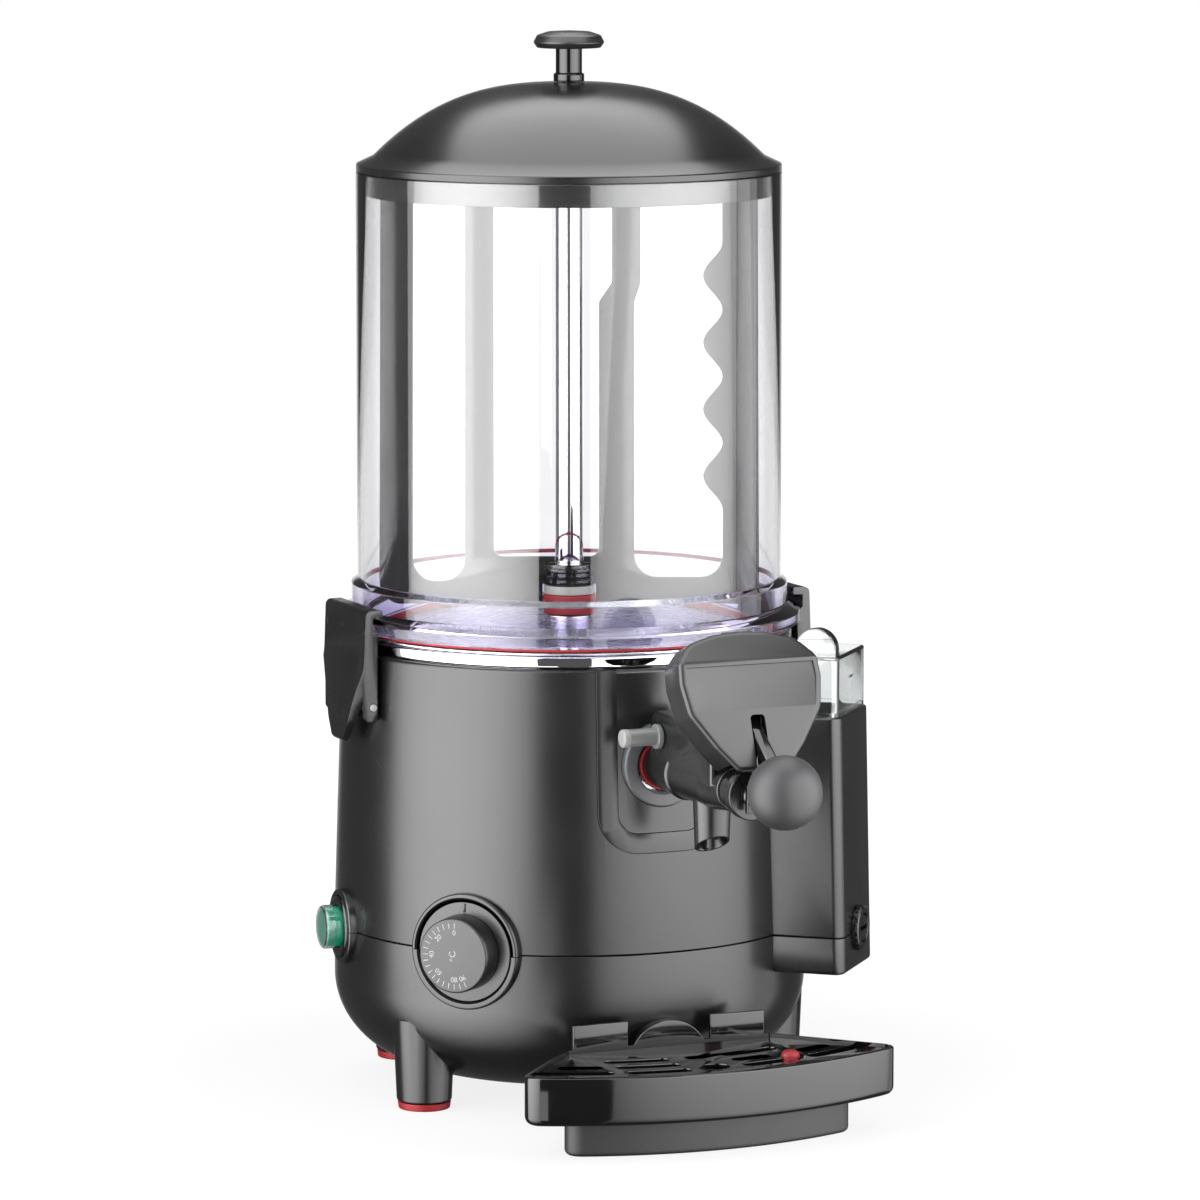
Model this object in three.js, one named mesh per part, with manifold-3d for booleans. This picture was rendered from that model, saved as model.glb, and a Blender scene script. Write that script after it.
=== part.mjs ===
// Hot chocolate dispenser: a round heated base on four legs, a clear tank with a stirring
// paddle, a domed lid, a lever tap, a water gauge box and a loose drip tray.
// Millimetres, +Z up, the tap faces -Y. Heights are measured from the table top.

import * as THREE from 'three';
import { mergeVertices } from 'three/addons/utils/BufferGeometryUtils.js';
import Module from 'manifold-3d';

const wasm = await Module();
wasm.setup();

// Facets
const bigSides = 32;
const middleSides = 16;
const smallSides = 12;
const pinSides = 8;
const cornerSteps = 3;
const domeSteps = 4;
const bowlSteps = 4;
const hiddenSteps = 2;
const springSteps = 8;
const wireSides = 5;
const nutSides = 6;

// Shared clearances and cutting values
const gap = 0.3;
const runGap = 0.6;
const overrun = 2;
const edgeRound = 1;
const weldDistance = 0.0001;

// Lower shell, a moulded bowl with legs
const shellRadius = 130;
const shellFloorRadius = 72;
const shellFloorZ = 12;
const shellWall = 3;
const bowlTopZ = 62;
const partingZ = 92.4;
const legTopRadius = 17;
const legFootRadius = 15;
const legTopZ = 48;
const legCircleRadius = 112;
const legAngles = [-68, 68, -146, 146];
const padHeight = 4;
const padPegRadius = 5;
const padPegLength = 7;

// Upper shell
const shellWaistZ = 160;
const shellWaistRadius = 127.9;
const shellTopZ = 246;
const shellTopRadius = 125;
const shellTopRound = 2.5;
const shellMouthRadius = 118;

// Dial and switch places round the parting line
const controlZ = 93;
const dialAngle = -48.5;
const dialBezelRadius = 27;
const dialBossRadius = 31.5;
const dialBossReach = 132.5;
const dialBezelDepth = 7;
const dialKnobRadius = 20.6;
const dialKnobDepth = 13.5;
const dialFaceRadius = 19.4;
const dialIndexWidth = 1.2;
const dialIndexHeight = 0.8;
const spindleRadius = 3;
const spindleLength = 30;
const thermostatWidth = 34;
const thermostatDepth = 22;
const switchAngle = -95;
const switchBezelRadius = 16.5;
const switchBossRadius = 20.5;
const switchBossReach = 133;
const switchBezelDepth = 8;
const switchButtonRadius = 11;
const switchButtonDepth = 9;
const switchTravel = 2.5;
const switchBootRadius = 12;
const switchBootDepth = 6;
const switchBootWall = 1;
const switchBodyWidth = 24;
const switchBodyDepth = 20;

// Water gauge box on the right hand side
const gaugeAngle = 48.5;
const gaugeWidth = 60;
const gaugeReach = 166;
const gaugeInset = 108;
const gaugeTaper = 3;
const gaugeBottomZ = 72;
const gaugeTopZ = 213;
const gaugeWall = 3;
const gaugeCornerRadius = 6;
const coverTopZ = 246;
const coverWall = 2;
const coverInset = 1.5;
const coverSkirt = 8;
const coverBack = 127.5;
const archRadius = 11.4;
const archRise = 4;
const archDepth = 8;
const levelMarkWidth = 9;
const levelMarkHeight = 1.2;
const levelMarkZ = 232;
const drainZ = 94;
const drainRingRadius = 12;
const drainRingDepth = 4;
const drainBoreRadius = 8;
const drainCapRadius = 7.4;
const drainCapDepth = 9;
const drainSlotWidth = 2.4;
const drainSlotDepth = 2;
const drainNeckLength = 22;

// Water bath vessel with its bright rim, and the product bowl hung in it
const vesselRadius = 116.8;
const vesselWall = 1.5;
const vesselFloorZ = 150;
const rimRadius = 122.4;
const rimHeight = 6.6;
const rimRound = 1.6;
const bowlRadius = 110;
const bowlWall = 1.5;
const bowlFlangeRadius = 121.2;
const bowlFlangeThick = 1.2;
const bowlFloorZ = 178;
const bowlCornerZ = 206;
const sleeveRadius = 13;
const sleeveBoreRadius = 8;
const sleeveTopZ = 262;
const spigotRadius = 15;

// Heating ring, gear motor and small electrical pieces in the base
const heaterRingRadius = 84;
const heaterTubeRadius = 4;
const heaterZ = 164;
const heaterLegSpread = 18;
const heaterLegLength = 24;
const gearboxRadius = 37;
const gearboxHeight = 30;
const motorRadius = 31;
const motorHeight = 66;
const motorShaftRadius = 5;
const motorShaftTopZ = 306;
const cutoutRadius = 9;
const cutoutHeight = 8;
const cutoutAngle = 150;
const glandAngle = 180;
const glandZ = 62;
const glandRadius = 10;
const glandNutRadius = 12;
const glandBoreRadius = 4;
const glandLength = 15;
const glandNutLength = 5;

// Clear tank
const tankRadius = 116.5;
const tankWall = 3.5;
const tankTopZ = 503.6;
const tankStepZ = 281;
const tankRingRadius = 119.8;
const tankRingZ = 267;
const tankLipRadius = 127;
const tankLipHeight = 6;
const gasketRadius = 120;
const gasketInnerRadius = 112.5;
const gasketHeight = 2.2;

// Shaft seal and agitator
const sealRadius = 14;
const sealRingHeight = 9.6;
const bushHeight = 4.6;
const shaftRadius = 7.65;
const shaftBoreRadius = 5.5;
const capRadius = 14.2;
const capHeight = 11.4;
const capGrooveDepth = 0.9;
const paddleAngle = -23.5;
const paddleThick = 3;
const paddleHalfWidth = 102;
const paddleBottomZ = 267;
const paddleTopZ = 497;
const paddleCorner = 12;
const paddleStrip = 18.6;
const windowTopZ = 490.2;
const windowCorner = 5;
const firstWindowRight = 57.4;
const firstWindowZ = 278.4;
const middleWindowLeft = 41.3;
const middleWindowRight = 23.5;
const middleStepRight = 16.4;
const middleStepZ = 432;
const middleWindowZ = 291.6;
const lastWindowLeft = 39.3;
const lastStepLeft = 35.8;
const lastWindowZ = 280.6;
const waveTopZ = 459;
const waveLength = 35.5;
const waveDepth = 10.8;
const waveCount = 4;
const waveSteps = 5;
const clipWidth = 27.5;
const clipDepth = 16;
const clipHeight = 6.8;
const clipWeb = 2.2;
const clipPegRadius = 4.6;
const clipPegLength = 9;
const gripDepth = 2.8;

// Lid and its knob
const lidWall = 2.5;
const lidApexZ = 552;
const lidShoulderRadius = 107;
const lidShoulderZ = 512;
const lidRimRadius = 116.2;
const lidRimHeight = 3.8;
const lidSkirtDrop = 13;
const lidSkirtWall = 2.2;
const domePowerShare = 2.7;
const stemRadius = 7.2;
const stemCollarRadius = 8.4;
const stemCollarHeight = 4.5;
const stemTopZ = 571;
const stemScrewRadius = 3;
const knobRadius = 19.4;
const knobHeight = 9;
const knobEdgeZ = 3.6;

// Latches on both sides
const latchAngles = [-90, 90];
const latchWidth = 60;
const latchCheek = 4;
const latchPivotReach = 127.8;
const latchPivotZ = 219;
const latchPinRadius = 2;
const latchLugRadius = 3.3;
const latchBracketHeight = 16;
const latchPlateThick = 4;
const latchTopZ = 271.6;
const latchHookReach = 122.2;
const latchHookThick = 4;
const latchTipZ = 198;
const latchTipReach = 137.4;
const latchCheekTopZ = 262;
const latchCheekReach = 124.8;

// U-shaped trim round the tap
const trimHalfWidth = 36;
const trimBand = 10.5;
const trimBottomZ = 147;
const trimCorner = 22;
const trimProud = 0.5;
const trimSink = 2;
const trimNotchWidth = 2.4;

// Tap
const tapZ = 194.5;
const collarRadius = 23;
const collarBoreRadius = 15.6;
const collarReach = 129.4;
const collarDepth = 9.4;
const collarFlangeRadius = 26;
const collarFlangeDepth = 2.4;
const ringRadius = 15.2;
const ringTubeRadius = 1.3;
const barrelRadius = 12.6;
const barrelBackReach = 112;
const beadReach = 161;
const beadRadius = 14.8;
const beadWidth = 2.4;
const barrelFrontReach = 222;
const barrelBoreRadius = 8.6;
const barrelBoreBack = 116;
const spoutSetback = 32;
const spoutReach = barrelFrontReach - spoutSetback;
const spoutRadius = 10.4;
const spoutBoreRadius = 8.2;
const spoutTopWidthShare = 0.86;
const spoutBottomZ = 160;
const spoutCutDrop = 9;
const spoutRibThick = 1.6;
const spoutRibDepth = 2.6;
const headWidth = 25;
const headBackReach = 137;
const headSetback = 6;
const headFrontReach = barrelFrontReach - headSetback;
const headTopZ = 226;
const cheekGap = 11;
const cheekWall = 4;
const cheekDepth = 16;
const cheekFrontReach = barrelFrontReach + cheekDepth;
const cheekTopZ = 246;
const capFlangeRadius = 13.4;
const capFlangeStand = 12;
const capFlangeThick = 7;
const capFlangeBack = barrelFrontReach + capFlangeStand;
const capFlangeFront = capFlangeBack + capFlangeThick;
const capPlugRadius = 8.2;
const capNeckRadius = 10.6;
const rodRadius = 2.6;
const pistonRadius = 7.9;
const pistonLength = 6;
const pistonSetback = 7;
const pistonReach = spoutReach - pistonSetback;
const rodHeadRadius = 6;
const rodHeadThick = 2.2;
const rodNeckGap = 7.6;
const springRadius = 6.4;
const springWire = 1;
const springCurls = 5;
const pivotStand = 8;
const leverPivotReach = barrelFrontReach + pivotStand;
const leverPivotZ = 238;
const leverHubRadius = 6;
const leverPinRadius = 2;
const leverThick = 7;
const leverNeckHeight = 7;
const forkStand = 16.8;
const forkReach = leverPivotReach + forkStand;
const rodHeadStand = 7;
const rodHeadReach = forkReach + rodHeadStand;
const forkThick = 3.4;
const forkWidth = 13;
const forkSlot = 6.4;
const forkDrop = 8.5;
const forkRise = 6.5;
const ballStand = 50;
const ballReach = leverPivotReach + ballStand;
const ballZ = 201.5;
const ballRadius = 19.4;
const lockPinRadius = 4.7;
const lockPinReach = 151;
const lockPinZ = 213.5;
const lockPinLength = 32;
const lockPinSink = 10;
const lockFlangeRadius = 6.6;
const lockFlangeThick = 3;

// Tap cover
const coverHalfWidth = 40;
const coverShoulderZ = 255;
const coverWaistZ = 240;
const coverWaistHalfWidth = 38.5;
const coverApexZ = 282;
const coverArcShares = [[0.95, 0.36], [0.72, 0.68], [0.38, 0.92]];
const coverStand = 9.6;
const coverPlaneReach = leverPivotReach + coverStand;
const coverLowZ = 207;
const coverLowHalfWidth = 14;
const coverHipHalfWidth = 25;
const coverHipZ = 220;
const coverDepth = 20;
const coverShellWall = 2.4;
const coverLean = 20;
const coverSlotWidth = 8.2;
const coverSlotTopZ = 237.5;
const coverPanelDepth = 1;
const coverPanelMargin = 6;
const coverPanelTopZ = 266;
const coverRibThick = 2.4;

// Drip tray, grid and float
const trayHalfWidth = 111.5;
const trayRimZ = 45;
const trayFloorZ = 19;
const trayFrontReach = 222;
const trayBackReach = 133.4;
const trayBackHalfWidth = 60;
const trayArcRadius = 225;
const trayCorner = 9;
const trayArcSteps = 8;
const trayWall = 2.6;
const trayBaseThick = 3;
const pedestalHalfWidth = 87;
const pedestalInset = 14;
const pedestalBackReach = 141;
const pedestalBackHalfWidth = 50;
const lugInner = 24;
const lugOuter = 56;
const lugThick = 2.4;
const lugTopZ = 58;
const archHalfWidth = 20.5;
const archTopZ = 56.8;
const archThick = 2.2;
const gridThick = 3;
const gridTopZ = 43;
const gridSupportRadius = 4;
const postFrontX = 66;
const postFrontReach = 200;
const postBackX = 42;
const postBackReach = 144;
const slotWidth = 6.4;
const slotRowPitch = 14.5;
const slotFirstRow = 23;
const slotRows = 3;
const slotInnerX = 15;
const slotMiddleX = 50;
const slotOuterX = 56;
const slotEndMargin = 7;
const slotSteps = 3;
const slotDepthShares = [1, 0.82, 0.6];
const cupHoleRadius = 7.5;
const cupHoleReach = 196;
const floatX = 47;
const floatReach = 188;
const floatRadius = 5;
const floatHoleRadius = 5.8;
const floatTopZ = 46.5;
const floatBaseRadius = 8;
const floatBaseHeight = 5;
const floatLift = 1.4;

// Colours of the materials
const blackPlastic = material(0x3b3b3d, 0.5, 0);
const glossBlack = material(0x1d1d1f, 0.25, 0);
const steel = material(0xc9cbcd, 0.22, 1);
const darkSteel = material(0x77797c, 0.4, 1);
const clearPlastic = material(0xe6ebf2, 0.05, 0, 0.3);
const greyPlastic = material(0x8d8f92, 0.35, 0);
const whitePlastic = material(0xe9e9e6, 0.4, 0);
const redRubber = material(0xc8323a, 0.6, 0);
const greenPlastic = material(0x1f9d6b, 0.35, 0);
const brass = material(0xb08d4f, 0.35, 1);

function material(color, roughness, metalness, opacity = 1) {
  return new THREE.MeshStandardMaterial({ color, roughness, metalness, opacity, transparent: opacity < 1 });
}

// Solids from three.js geometry

function solidOf(geometry) {
  const bare = geometry.clone();
  for (const name of Object.keys(bare.attributes)) {
    if (name !== 'position') bare.deleteAttribute(name);
  }
  const whole = mergeVertices(bare, weldDistance);
  const vertProperties = new Float32Array(whole.attributes.position.array);
  const triVerts = new Uint32Array(whole.index.array);
  if (enclosedVolume(vertProperties, triVerts) < 0) turnFaces(triVerts);
  return new wasm.Manifold(new wasm.Mesh({ numProp: 3, vertProperties, triVerts }));
}

function enclosedVolume(points, faces) {
  const corner = (k) => new THREE.Vector3().fromArray(points, faces[k] * 3);
  let sum = 0;
  for (let k = 0; k < faces.length; k += 3) sum += corner(k).dot(corner(k + 1).cross(corner(k + 2)));
  return sum / 6;
}

function turnFaces(faces) {
  for (let k = 0; k < faces.length; k += 3) [faces[k], faces[k + 1]] = [faces[k + 1], faces[k]];
}

function geometryOf(solid) {
  const mesh = solid.getMesh();
  const geometry = new THREE.BufferGeometry();
  geometry.setAttribute('position', new THREE.BufferAttribute(new Float32Array(mesh.vertProperties), 3));
  geometry.setIndex(new THREE.BufferAttribute(new Uint32Array(mesh.triVerts), 1));
  geometry.computeVertexNormals();
  return geometry;
}

const joined = (first, ...rest) => rest.reduce((solid, next) => solid.add(next), first);
const cut = (first, ...rest) => rest.reduce((solid, next) => solid.subtract(next), first);
const common = (first, second) => first.intersect(second);
const radians = THREE.MathUtils.degToRad;

// A revolved solid about +Z; each profile point is [radius, height]
function revolved(profile, sides = bigSides) {
  const points = profile.map(([radius, height]) => new THREE.Vector2(radius, height));
  const geometry = new THREE.LatheGeometry(points, sides);
  geometry.rotateX(Math.PI / 2);
  return solidOf(geometry);
}

// A closed ring profile between two radii and two heights
function ring(inner, outer, bottom, top, sides = bigSides) {
  return revolved([[inner, bottom], [outer, bottom], [outer, top], [inner, top], [inner, bottom]], sides);
}

// An upright round bar
function bar(radius, bottom, top, sides = smallSides) {
  return revolved([[0, bottom], [radius, bottom], [radius, top], [0, top]], sides);
}

// A bar that tapers upwards
function taperedBar(lowRadius, highRadius, bottom, top, sides = smallSides) {
  return revolved([[0, bottom], [lowRadius, bottom], [highRadius, top], [0, top]], sides);
}

// A box between two corners
function block(low, high) {
  const size = high.map((value, axis) => value - low[axis]);
  const geometry = new THREE.BoxGeometry(...size);
  geometry.translate(...high.map((value, axis) => (value + low[axis]) / 2));
  return solidOf(geometry);
}

// A flat outline of [x, y] points pushed up from one height to another
function prism(outline, bottom, top, holes = []) {
  const shape = new THREE.Shape(outline.map(([x, y]) => new THREE.Vector2(x, y)));
  shape.holes = holes.map((hole) => new THREE.Path(hole.map(([x, y]) => new THREE.Vector2(x, y))));
  const geometry = new THREE.ExtrudeGeometry(shape, { depth: top - bottom, bevelEnabled: false });
  geometry.translate(0, 0, bottom);
  return solidOf(geometry);
}

// Moves a solid made along +Z so that it reaches out along -Y at the given height
function facingFront(solid, height = 0) {
  return moved(solid, new THREE.Matrix4().makeRotationX(Math.PI / 2), [0, 0, height]);
}

// Turns a solid about the machine's axis
function turned(solid, angle) {
  return moved(solid, new THREE.Matrix4().makeRotationZ(radians(angle)));
}

function shifted(solid, offset) {
  return moved(solid, new THREE.Matrix4(), offset);
}

function moved(solid, matrix, offset = [0, 0, 0]) {
  const geometry = geometryOf(solid);
  geometry.applyMatrix4(matrix);
  geometry.translate(...offset);
  return solidOf(geometry);
}

// A bar that reaches out towards the front between two distances from the axis
function frontBar(radius, back, front, height, sides = middleSides) {
  return facingFront(bar(radius, back, front, sides), height);
}

// A bar across the machine, centred on x = 0 unless told
function crossBar(radius, left, right, reach, height, sides = smallSides) {
  const upright = bar(radius, left, right, sides);
  return moved(upright, new THREE.Matrix4().makeRotationY(Math.PI / 2), [0, -reach, height]);
}

// A side-on outline of [reach, height] points given a width about x = 0
function sideProfile(outline, left, right) {
  const flat = prism(outline, left, right);
  const basis = new THREE.Matrix4().makeBasis(
    new THREE.Vector3(0, -1, 0),
    new THREE.Vector3(0, 0, 1),
    new THREE.Vector3(-1, 0, 0),
  );
  return moved(flat, basis);
}

// A front-on outline of [x, height] points between two distances from the axis
function frontProfile(outline, back, front, holes = []) {
  return moved(prism(outline, back, front, holes), new THREE.Matrix4().makeRotationX(Math.PI / 2));
}

// Rounded corners for an outline; each corner has its own radius
function roundedOutline(corners, steps = cornerSteps) {
  const points = [];
  corners.forEach(([x, y, radius = 0], k) => {
    const here = new THREE.Vector2(x, y);
    if (radius === 0) {
      points.push([x, y]);
      return;
    }
    const [beforeX, beforeY] = corners[(k + corners.length - 1) % corners.length];
    const [afterX, afterY] = corners[(k + 1) % corners.length];
    const toBefore = new THREE.Vector2(beforeX, beforeY).sub(here).normalize();
    const toAfter = new THREE.Vector2(afterX, afterY).sub(here).normalize();
    const halfAngle = Math.acos(THREE.MathUtils.clamp(toBefore.dot(toAfter), -1, 1)) / 2;
    const setback = radius / Math.tan(halfAngle);
    const start = here.clone().addScaledVector(toBefore, setback);
    const end = here.clone().addScaledVector(toAfter, setback);
    const curve = new THREE.QuadraticBezierCurve(start, here, end);
    curve.getPoints(steps).forEach((point) => points.push([point.x, point.y]));
  });
  return points;
}

// Moves every edge of an anticlockwise outline inwards by the same distance
function insetOutline(outline, distance) {
  return outline.map(([x, y], k) => {
    const here = new THREE.Vector2(x, y);
    const before = new THREE.Vector2(...outline[(k + outline.length - 1) % outline.length]);
    const after = new THREE.Vector2(...outline[(k + 1) % outline.length]);
    const into = here.clone().sub(before).normalize();
    const out = after.sub(here).normalize();
    const firstNormal = new THREE.Vector2(-into.y, into.x);
    const bisector = firstNormal.clone().add(new THREE.Vector2(-out.y, out.x)).normalize();
    here.addScaledVector(bisector, distance / bisector.dot(firstNormal));
    return [here.x, here.y];
  });
}

// Named pieces

const machine = new THREE.Group();

function add(name, solid, look, parent = machine) {
  const mesh = new THREE.Mesh(geometryOf(solid), look);
  mesh.name = name;
  parent.add(mesh);
  return mesh;
}

// A group that turns what it holds to face outwards at an angle from the front
function sideGroup(angle) {
  const group = new THREE.Group();
  group.rotation.z = radians(angle);
  machine.add(group);
  return group;
}

// Base shells

function lowerShellProfile(inset, steps = bowlSteps) {
  const outer = [];
  for (let step = 0; step <= steps; step += 1) {
    const turn = (step / steps) * (Math.PI / 2);
    const radius = shellFloorRadius + (shellRadius - inset - shellFloorRadius) * Math.sin(turn);
    const height = shellFloorZ + inset + (bowlTopZ - shellFloorZ - inset) * (1 - Math.cos(turn));
    outer.push([radius, height]);
  }
  return outer;
}

function upperShellProfile(inset) {
  return [
    [shellRadius - inset, partingZ],
    [shellWaistRadius - inset, shellWaistZ],
    [shellTopRadius - inset, shellTopZ - shellTopRound],
  ];
}

// The outside of the whole body, grown or shrunk, used to shape pieces that follow it
function bodyEnvelope(grow) {
  const lower = lowerShellProfile(-grow);
  const upper = upperShellProfile(-grow);
  const lid = [shellTopRadius + grow, shellTopZ + overrun];
  return revolved([[0, shellFloorZ - grow], ...lower, ...upper, lid, [0, shellTopZ + overrun]]);
}

function lowerCup() {
  const top = partingZ - gap / 2;
  const outer = [...lowerShellProfile(0), [shellRadius, top]];
  const inner = [...lowerShellProfile(shellWall, hiddenSteps), [shellRadius - shellWall, top]].reverse();
  return revolved([[0, shellFloorZ], ...outer, ...inner, [0, shellFloorZ + shellWall]]);
}

function legPlace(angle) {
  return [legCircleRadius * Math.sin(radians(angle)), -legCircleRadius * Math.cos(radians(angle)), 0];
}

function leg(angle) {
  const solid = taperedBar(legFootRadius, legTopRadius, padHeight + gap, legTopZ);
  return shifted(solid, legPlace(angle));
}

function pegHole(angle) {
  const hole = bar(padPegRadius + gap, 0, padHeight + padPegLength + gap + gap, smallSides);
  return shifted(hole, legPlace(angle));
}

function bowlHollow() {
  const inner = [...lowerShellProfile(shellWall, hiddenSteps), [shellRadius - shellWall, partingZ + overrun]];
  return revolved([[0, shellFloorZ + shellWall], ...inner, [0, partingZ + overrun]]);
}

function gaugeOutline(inset, back = gaugeInset) {
  const half = gaugeWidth / 2 - inset;
  const reach = gaugeReach - inset;
  const round = gaugeCornerRadius - inset;
  return [[-half, -reach, round], [half, -reach, round], [half, -back, 0], [-half, -back, 0]];
}

// The gauge box draws in slightly towards its top
function gaugeBlock(inset, bottom, top, back = gaugeInset) {
  const geometry = geometryOf(prism(roundedOutline(gaugeOutline(inset, back)), bottom, top));
  const position = geometry.attributes.position;
  for (let k = 0; k < position.count; k += 1) {
    const rise = (position.getZ(k) - gaugeBottomZ) / (gaugeTopZ - gaugeBottomZ);
    const forward = (-position.getY(k) - back) / (gaugeReach - back);
    position.setY(k, position.getY(k) + gaugeTaper * rise * forward);
  }
  return solidOf(geometry);
}

function controlBoss(radius, reach, angle) {
  return turned(frontBar(radius, shellRadius - dialBossRadius, reach, controlZ), angle);
}

function controlHole(radius, angle) {
  return turned(frontBar(radius + gap, shellFloorRadius, gaugeReach, controlZ), angle);
}

function controlBosses() {
  return joined(
    controlBoss(dialBossRadius, dialBossReach, dialAngle),
    controlBoss(switchBossRadius, switchBossReach, switchAngle),
  );
}

function halfSpace(bottom, top) {
  const reach = gaugeReach + overrun;
  return block([-reach, -reach, bottom], [reach, reach, top]);
}

function drainHole() {
  const hole = frontBar(drainRingRadius - edgeRound + gap, vesselRadius, gaugeReach + overrun, drainZ);
  return turned(hole, gaugeAngle);
}

function glandHole() {
  return turned(frontBar(glandRadius + gap, shellFloorRadius, shellRadius + overrun, glandZ), glandAngle);
}

function lowerShell() {
  const top = partingZ - gap / 2;
  let solid = joined(lowerCup(), ...legAngles.map(leg));
  solid = joined(solid, turned(gaugeBlock(0, gaugeBottomZ, top), gaugeAngle));
  solid = joined(solid, common(controlBosses(), halfSpace(gaugeBottomZ / 2, top)));
  solid = cut(solid, bowlHollow());
  solid = cut(solid, turned(gaugeBlock(gaugeWall, gaugeBottomZ + gaugeWall, partingZ + overrun), gaugeAngle));
  solid = cut(solid, controlHole(dialBezelRadius, dialAngle), controlHole(switchBezelRadius, switchAngle));
  return cut(solid, drainHole(), glandHole(), ...legAngles.map(pegHole));
}

function upperWall() {
  const bottom = partingZ + gap / 2;
  const outer = upperShellProfile(0);
  const inner = upperShellProfile(shellWall).reverse();
  outer[0][1] = bottom;
  inner[inner.length - 1][1] = bottom;
  inner[0][1] = shellTopZ - shellWall;
  const lip = [[shellTopRadius - shellTopRound, shellTopZ], [shellMouthRadius, shellTopZ]];
  const underLip = [[shellMouthRadius, shellTopZ - shellWall]];
  return revolved([...outer, ...lip, ...underLip, ...inner, outer[0]]);
}

// What lies inside the wall, to trim pieces joined from outside
function upperHollow() {
  const inner = upperShellProfile(shellWall);
  inner[0][1] = partingZ - overrun;
  inner[inner.length - 1][1] = shellTopZ - shellWall;
  return revolved([[0, partingZ - overrun], ...inner, [0, shellTopZ - shellWall]]);
}

function trimOutline(inset) {
  const half = trimHalfWidth - inset;
  const bottom = trimBottomZ + inset;
  const round = Math.max(trimCorner - inset, edgeRound);
  return [[-half, bottom, round], [half, bottom, round], [half, shellTopZ + overrun, 0], [-half, shellTopZ + overrun, 0]];
}

function trimPrism(inset) {
  return frontProfile(roundedOutline(trimOutline(inset)), legCircleRadius, shellRadius + overrun);
}

function trimBandPrism(clearance) {
  return cut(trimPrism(-clearance), trimPrism(trimBand + clearance));
}

function trimRecess() {
  return cut(trimBandPrism(gap), bodyEnvelope(-trimSink));
}

function upperShell() {
  const bottom = partingZ + gap / 2;
  let solid = joined(upperWall(), turned(gaugeBlock(0, bottom, gaugeTopZ), gaugeAngle));
  solid = joined(solid, common(controlBosses(), halfSpace(bottom, shellTopZ)));
  solid = cut(solid, upperHollow());
  solid = cut(solid, turned(gaugeBlock(gaugeWall, partingZ - overrun, gaugeTopZ + overrun, shellRadius), gaugeAngle));
  solid = cut(solid, controlHole(dialBezelRadius, dialAngle), controlHole(switchBezelRadius, switchAngle));
  solid = cut(solid, drainHole(), frontBar(collarRadius + gap, legCircleRadius, gaugeReach, tapZ));
  return cut(solid, trimRecess());
}

function trim() {
  const skin = common(trimBandPrism(0), bodyEnvelope(trimProud));
  let solid = cut(skin, bodyEnvelope(gap - trimSink));
  const top = shellTopZ - edgeRound / 2;
  solid = cut(solid, block([-trimHalfWidth * 2, -gaugeReach, top], [trimHalfWidth * 2, 0, shellTopZ + overrun * 2]));
  const notchTop = trimBottomZ + trimBand + overrun;
  const depth = shellRadius + trimProud - trimSink / 2;
  const notch = block([-trimNotchWidth / 2, -gaugeReach, trimBottomZ - overrun], [trimNotchWidth / 2, -depth, notchTop]);
  return cut(solid, notch);
}

function footPad(angle) {
  const profile = [[0, 0], [legFootRadius - edgeRound, 0], [legFootRadius - edgeRound / 2, padHeight]];
  const peg = [[padPegRadius, padHeight], [padPegRadius, padHeight + padPegLength], [0, padHeight + padPegLength]];
  return shifted(revolved([...profile, ...peg], smallSides), legPlace(angle));
}

function addShells() {
  add('lower_shell', lowerShell(), blackPlastic);
  add('upper_shell', upperShell(), blackPlastic);
  add('tap_trim', trim(), blackPlastic);
  legAngles.forEach((angle, k) => add(`foot_pad_${k + 1}`, footPad(angle), redRubber));
}

// Controls

function dialBezel() {
  const front = dialBossReach - edgeRound;
  const plate = frontBar(dialBezelRadius, front - dialBezelDepth, front, controlZ);
  const hole = frontBar(spindleRadius + runGap, front - dialBezelDepth - overrun, front + overrun, controlZ, smallSides);
  const indexLow = controlZ + dialKnobRadius + edgeRound;
  const indexHigh = controlZ + dialBezelRadius - edgeRound;
  const half = dialIndexWidth / 2;
  const mark = block([-half, -front - dialIndexHeight, indexLow], [half, -front + edgeRound, indexHigh]);
  return joined(cut(plate, hole), mark);
}

function thermostat() {
  const front = dialBossReach - edgeRound - dialBezelDepth - gap;
  const half = thermostatWidth / 2;
  const body = block([-half, -front, controlZ - half], [half, -front + thermostatDepth, controlZ + half]);
  return cut(body, frontBar(spindleRadius + runGap, front - thermostatDepth / 2, front + overrun, controlZ, smallSides));
}

function dialSpindle() {
  const back = dialBossReach - edgeRound - dialBezelDepth - thermostatDepth / 2;
  return frontBar(spindleRadius, back + gap, back + spindleLength, controlZ, pinSides);
}

function dialKnob() {
  const back = dialBossReach - edgeRound + gap + gap;
  const front = back + dialKnobDepth;
  const spindleFront = dialBossReach - edgeRound - dialBezelDepth - thermostatDepth / 2 + spindleLength;
  const profile = [
    [0, back],
    [dialKnobRadius, back],
    [dialKnobRadius - edgeRound / 2, front - edgeRound * 2],
    [dialFaceRadius, front - edgeRound / 2],
    [dialFaceRadius - edgeRound, front],
    [0, front],
  ];
  const knob = facingFront(revolved(profile, middleSides), controlZ);
  return cut(knob, frontBar(spindleRadius + gap, back - overrun, spindleFront + gap, controlZ, pinSides));
}

function switchBezel() {
  const front = switchBossReach + edgeRound;
  const back = front - switchBezelDepth;
  const bore = switchButtonRadius + runGap;
  return facingFront(ring(bore, switchBezelRadius, back, front, middleSides), controlZ);
}

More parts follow.
